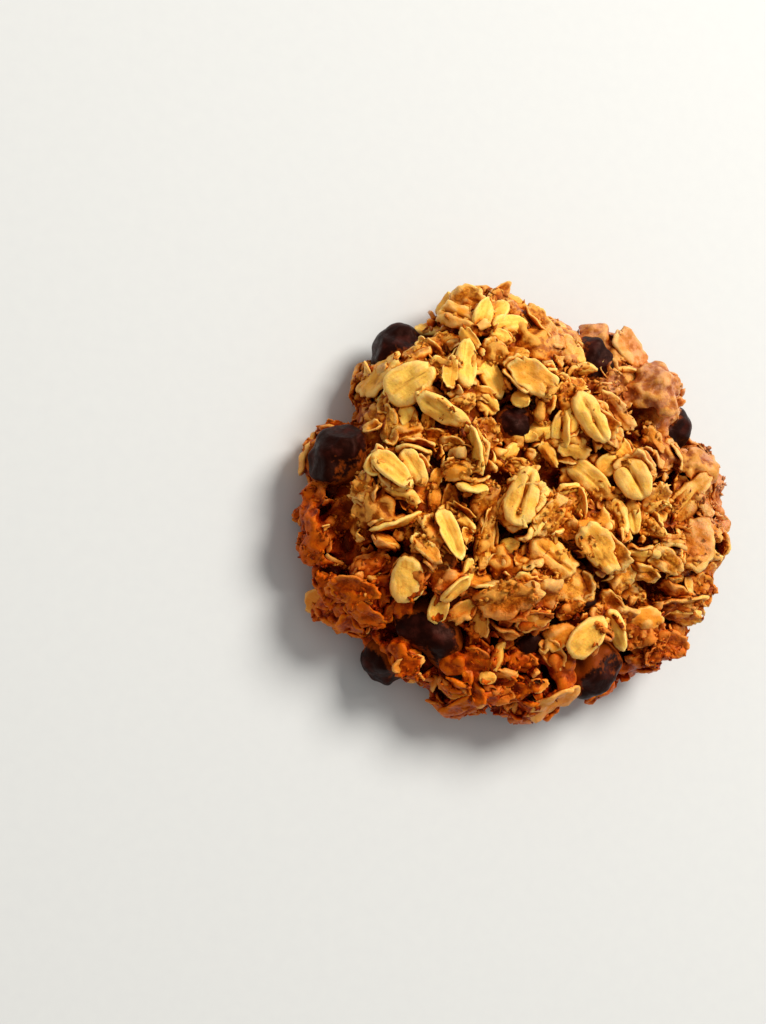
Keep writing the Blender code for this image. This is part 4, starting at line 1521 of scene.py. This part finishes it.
def toasted_oat():
    material, shader = start_material("toasted_rolled_oat")
    grain = add(material, "ShaderNodeAttribute", attribute_name="grain").outputs["Vector"]
    stretched = add(material, "ShaderNodeMapping", {"Vector": grain, "Scale": RIBS_PER_MM}).outputs[0]
    inputs = {"Vector": stretched, "Scale": 1.0, "Detail": 4.0}
    ribs = add(material, "ShaderNodeTexNoise", inputs).outputs["Fac"]
    patches, fine, broad = patterns(material, (1.6, 4.0), (0.5, 3.0), (2.6, 2.0))
    hollow, tone, crease, coating = measured(material, "hollow", "tone", "crease", "coating")
    rim, bulge = measured(material, "rim", "bulge")
    colour = add(material, "ShaderNodeMix", {0: tone, 6: "#E2861C", 7: "#FFC858"}, **COLOURS).outputs[2]
    colour = coated_with(
        material,
        colour,
        (ribs, 0.45, 0.75, 0.6, "#E2902C"),
        (patches, 0.54, 0.68, 0.5, "#DC8A26"),
        (fine, 0.6, 0.72, 0.5, "#BC6414"),
        (crease, 0.25, 0.9, 1.0, "#9A5212"),
    )
    inputs = {0: hollow, 1: DIPPING_SMEARS, 2: patches}
    dipped = add(material, "ShaderNodeMath", inputs, operation="MULTIPLY_ADD").outputs[0]
    smeared = add(material, "ShaderNodeMath", {0: coating, 1: dipped}, operation="ADD").outputs[0]
    inputs = {"Value": smeared, "From Min": 0.86, "From Max": 1.12}
    smear = add(material, "ShaderNodeMapRange", inputs, **SMOOTH).outputs[0]
    syrup = coated_with(material, "#9A4C0B", (fine, 0.35, 0.65, 1.0, "#CC8022"))
    colour = add(material, "ShaderNodeMix", {0: smear, 6: colour, 7: syrup}, **COLOURS).outputs[2]
    inputs = {"Value": broad, "From Min": 0.42, "From Max": 0.56, "To Min": 0.1, "To Max": 0.8}
    uneven = add(material, "ShaderNodeMapRange", inputs, **SMOOTH).outputs[0]
    pale_rim = add(material, "ShaderNodeMath", {0: rim, 1: uneven}, operation="MULTIPLY").outputs[0]
    colour = add(material, "ShaderNodeMix", {0: pale_rim, 6: colour, 7: "#FFCE6C"}, **COLOURS).outputs[2]
    # painted shade darkens each small crease, and a painted highlight makes each ridge paler
    colour = coated_with(
        material, colour, (bulge, -0.02, -0.1, 0.7, "#9A4A0C"), (bulge, 0.02, 0.08, 0.4, "#FFD684")
    )
    colour = baked_and_shaded(material, colour, hollow)
    normal = relief(
        material, (ribs, 0.3, 0.2), (patches, 0.5, 0.4), (smear, 0.5, 0.25), (fine, 0.45, 0.2)
    )
    finish(material, shader, colour, (smear, 0.0, 1.0, 0.44, 0.32), normal, 0.3)
    return material


oat_finish = toasted_oat()
for obj in flake_pieces:
    obj.data.materials.append(oat_finish)
print("Oats have", len(oat_finish.node_tree.nodes), "nodes")

# %% [markdown]
# ## Material: dark chocolate
#
# Cocoa butter that melted and set again: nearly black brown with a soft shine, dulled by a thin
# bloom in patches, and smeared with dough where it dips in or dough clings. It is too dark for light
# to come out again, so nothing scatters.

# %% Dark chocolate


def dark_chocolate():
    material, shader = start_material("dark_chocolate")
    broad, fine = patterns(material, (2.2, 4.0), (0.7, 4.0))
    (hollow,) = measured(material, "hollow")
    smeared = add(material, "ShaderNodeMath", {0: hollow, 1: fine}, operation="ADD").outputs[0]
    colour = coated_with(
        material, "#170402", (broad, 0.45, 0.7, 1.0, "#34100A"), (smeared, 0.78, 1.1, 1.0, "#7A3206")
    )
    normal = relief(material, (fine, 0.4, 0.25))
    finish(material, shader, colour, (fine, 0.3, 0.7, 0.4, 0.6), normal, 0.0)
    shader.inputs["IOR"].default_value = 1.47
    shader.inputs["Specular IOR Level"].default_value = 0.25
    shader.inputs["Specular Tint"].default_value = linear("#B87058")
    return material


chocolate_finish = dark_chocolate()
for obj in chocolates:
    obj.data.materials.append(chocolate_finish)
print("Chocolate has", len(chocolate_finish.node_tree.nodes), "nodes")

# %% [markdown]
# ## Floor and light
#
# The backdrop is plain and nearly white. One large soft light comes from the upper right, as a
# window would, and the pale room fills the shadows a little.

# %% Floor, key light and room
FLOOR_SIDE = 3.0
WINDOW_AWAY = 0.9
WINDOW_SIZE = 0.45
WINDOW_POWER = 10.8
ROOM_GLOW = 0.46


def make_floor():
    bm = bmesh.new()
    bmesh.ops.create_grid(bm, x_segments=8, y_segments=8, size=FLOOR_SIDE / 2)
    mesh = bpy.data.meshes.new("floor")
    bm.to_mesh(mesh)
    bm.free()
    floor = bpy.data.objects.new("floor", mesh)
    bpy.context.scene.collection.objects.link(floor)
    material, shader = start_material("white_card")
    (fibres,) = patterns(material, (2.0, 2.0))
    colour = add(material, "ShaderNodeMix", {0: fibres, 6: "#CFD0CF", 7: "#D3D4D2"}, **COLOURS).outputs[2]
    material.node_tree.links.new(colour, shader.inputs["Base Color"])
    shader.inputs["Roughness"].default_value = 0.9
    mesh.materials.append(material)
    floor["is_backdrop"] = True


def make_light(name, direction, distance, size, power, colour):
    data = bpy.data.lights.new(name, "AREA")
    data.shape = "DISK"
    data.size = size
    data.energy = power
    data.color = linear(colour)[:3]
    light = bpy.data.objects.new(name, data)
    towards = Vector(direction).normalized()
    light.location = towards * distance
    light.rotation_euler = towards.to_track_quat("Z", "Y").to_euler()
    bpy.context.scene.collection.objects.link(light)


make_floor()
make_light("window", (0.55, 0.6, 0.95), WINDOW_AWAY, WINDOW_SIZE, WINDOW_POWER, "#FFFBF5")
world = bpy.data.worlds.new("room")
world.use_nodes = True
world.node_tree.nodes["Background"].inputs["Color"].default_value = linear("#F4F4F2")
world.node_tree.nodes["Background"].inputs["Strength"].default_value = ROOM_GLOW
bpy.context.scene.world = world
bpy.context.scene.view_settings.view_transform = "Standard"
print("The window is", WINDOW_AWAY, "m away")

# %% [markdown]
# ## The size
#
# The visual cookie has to be the size of the solid one, so both boxes are written down.

# %% Sizes, and finish
sizes = [[list(corner) for corner in box] for box in (cad_box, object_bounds())]
print("Solid and visual boxes:", sizes)
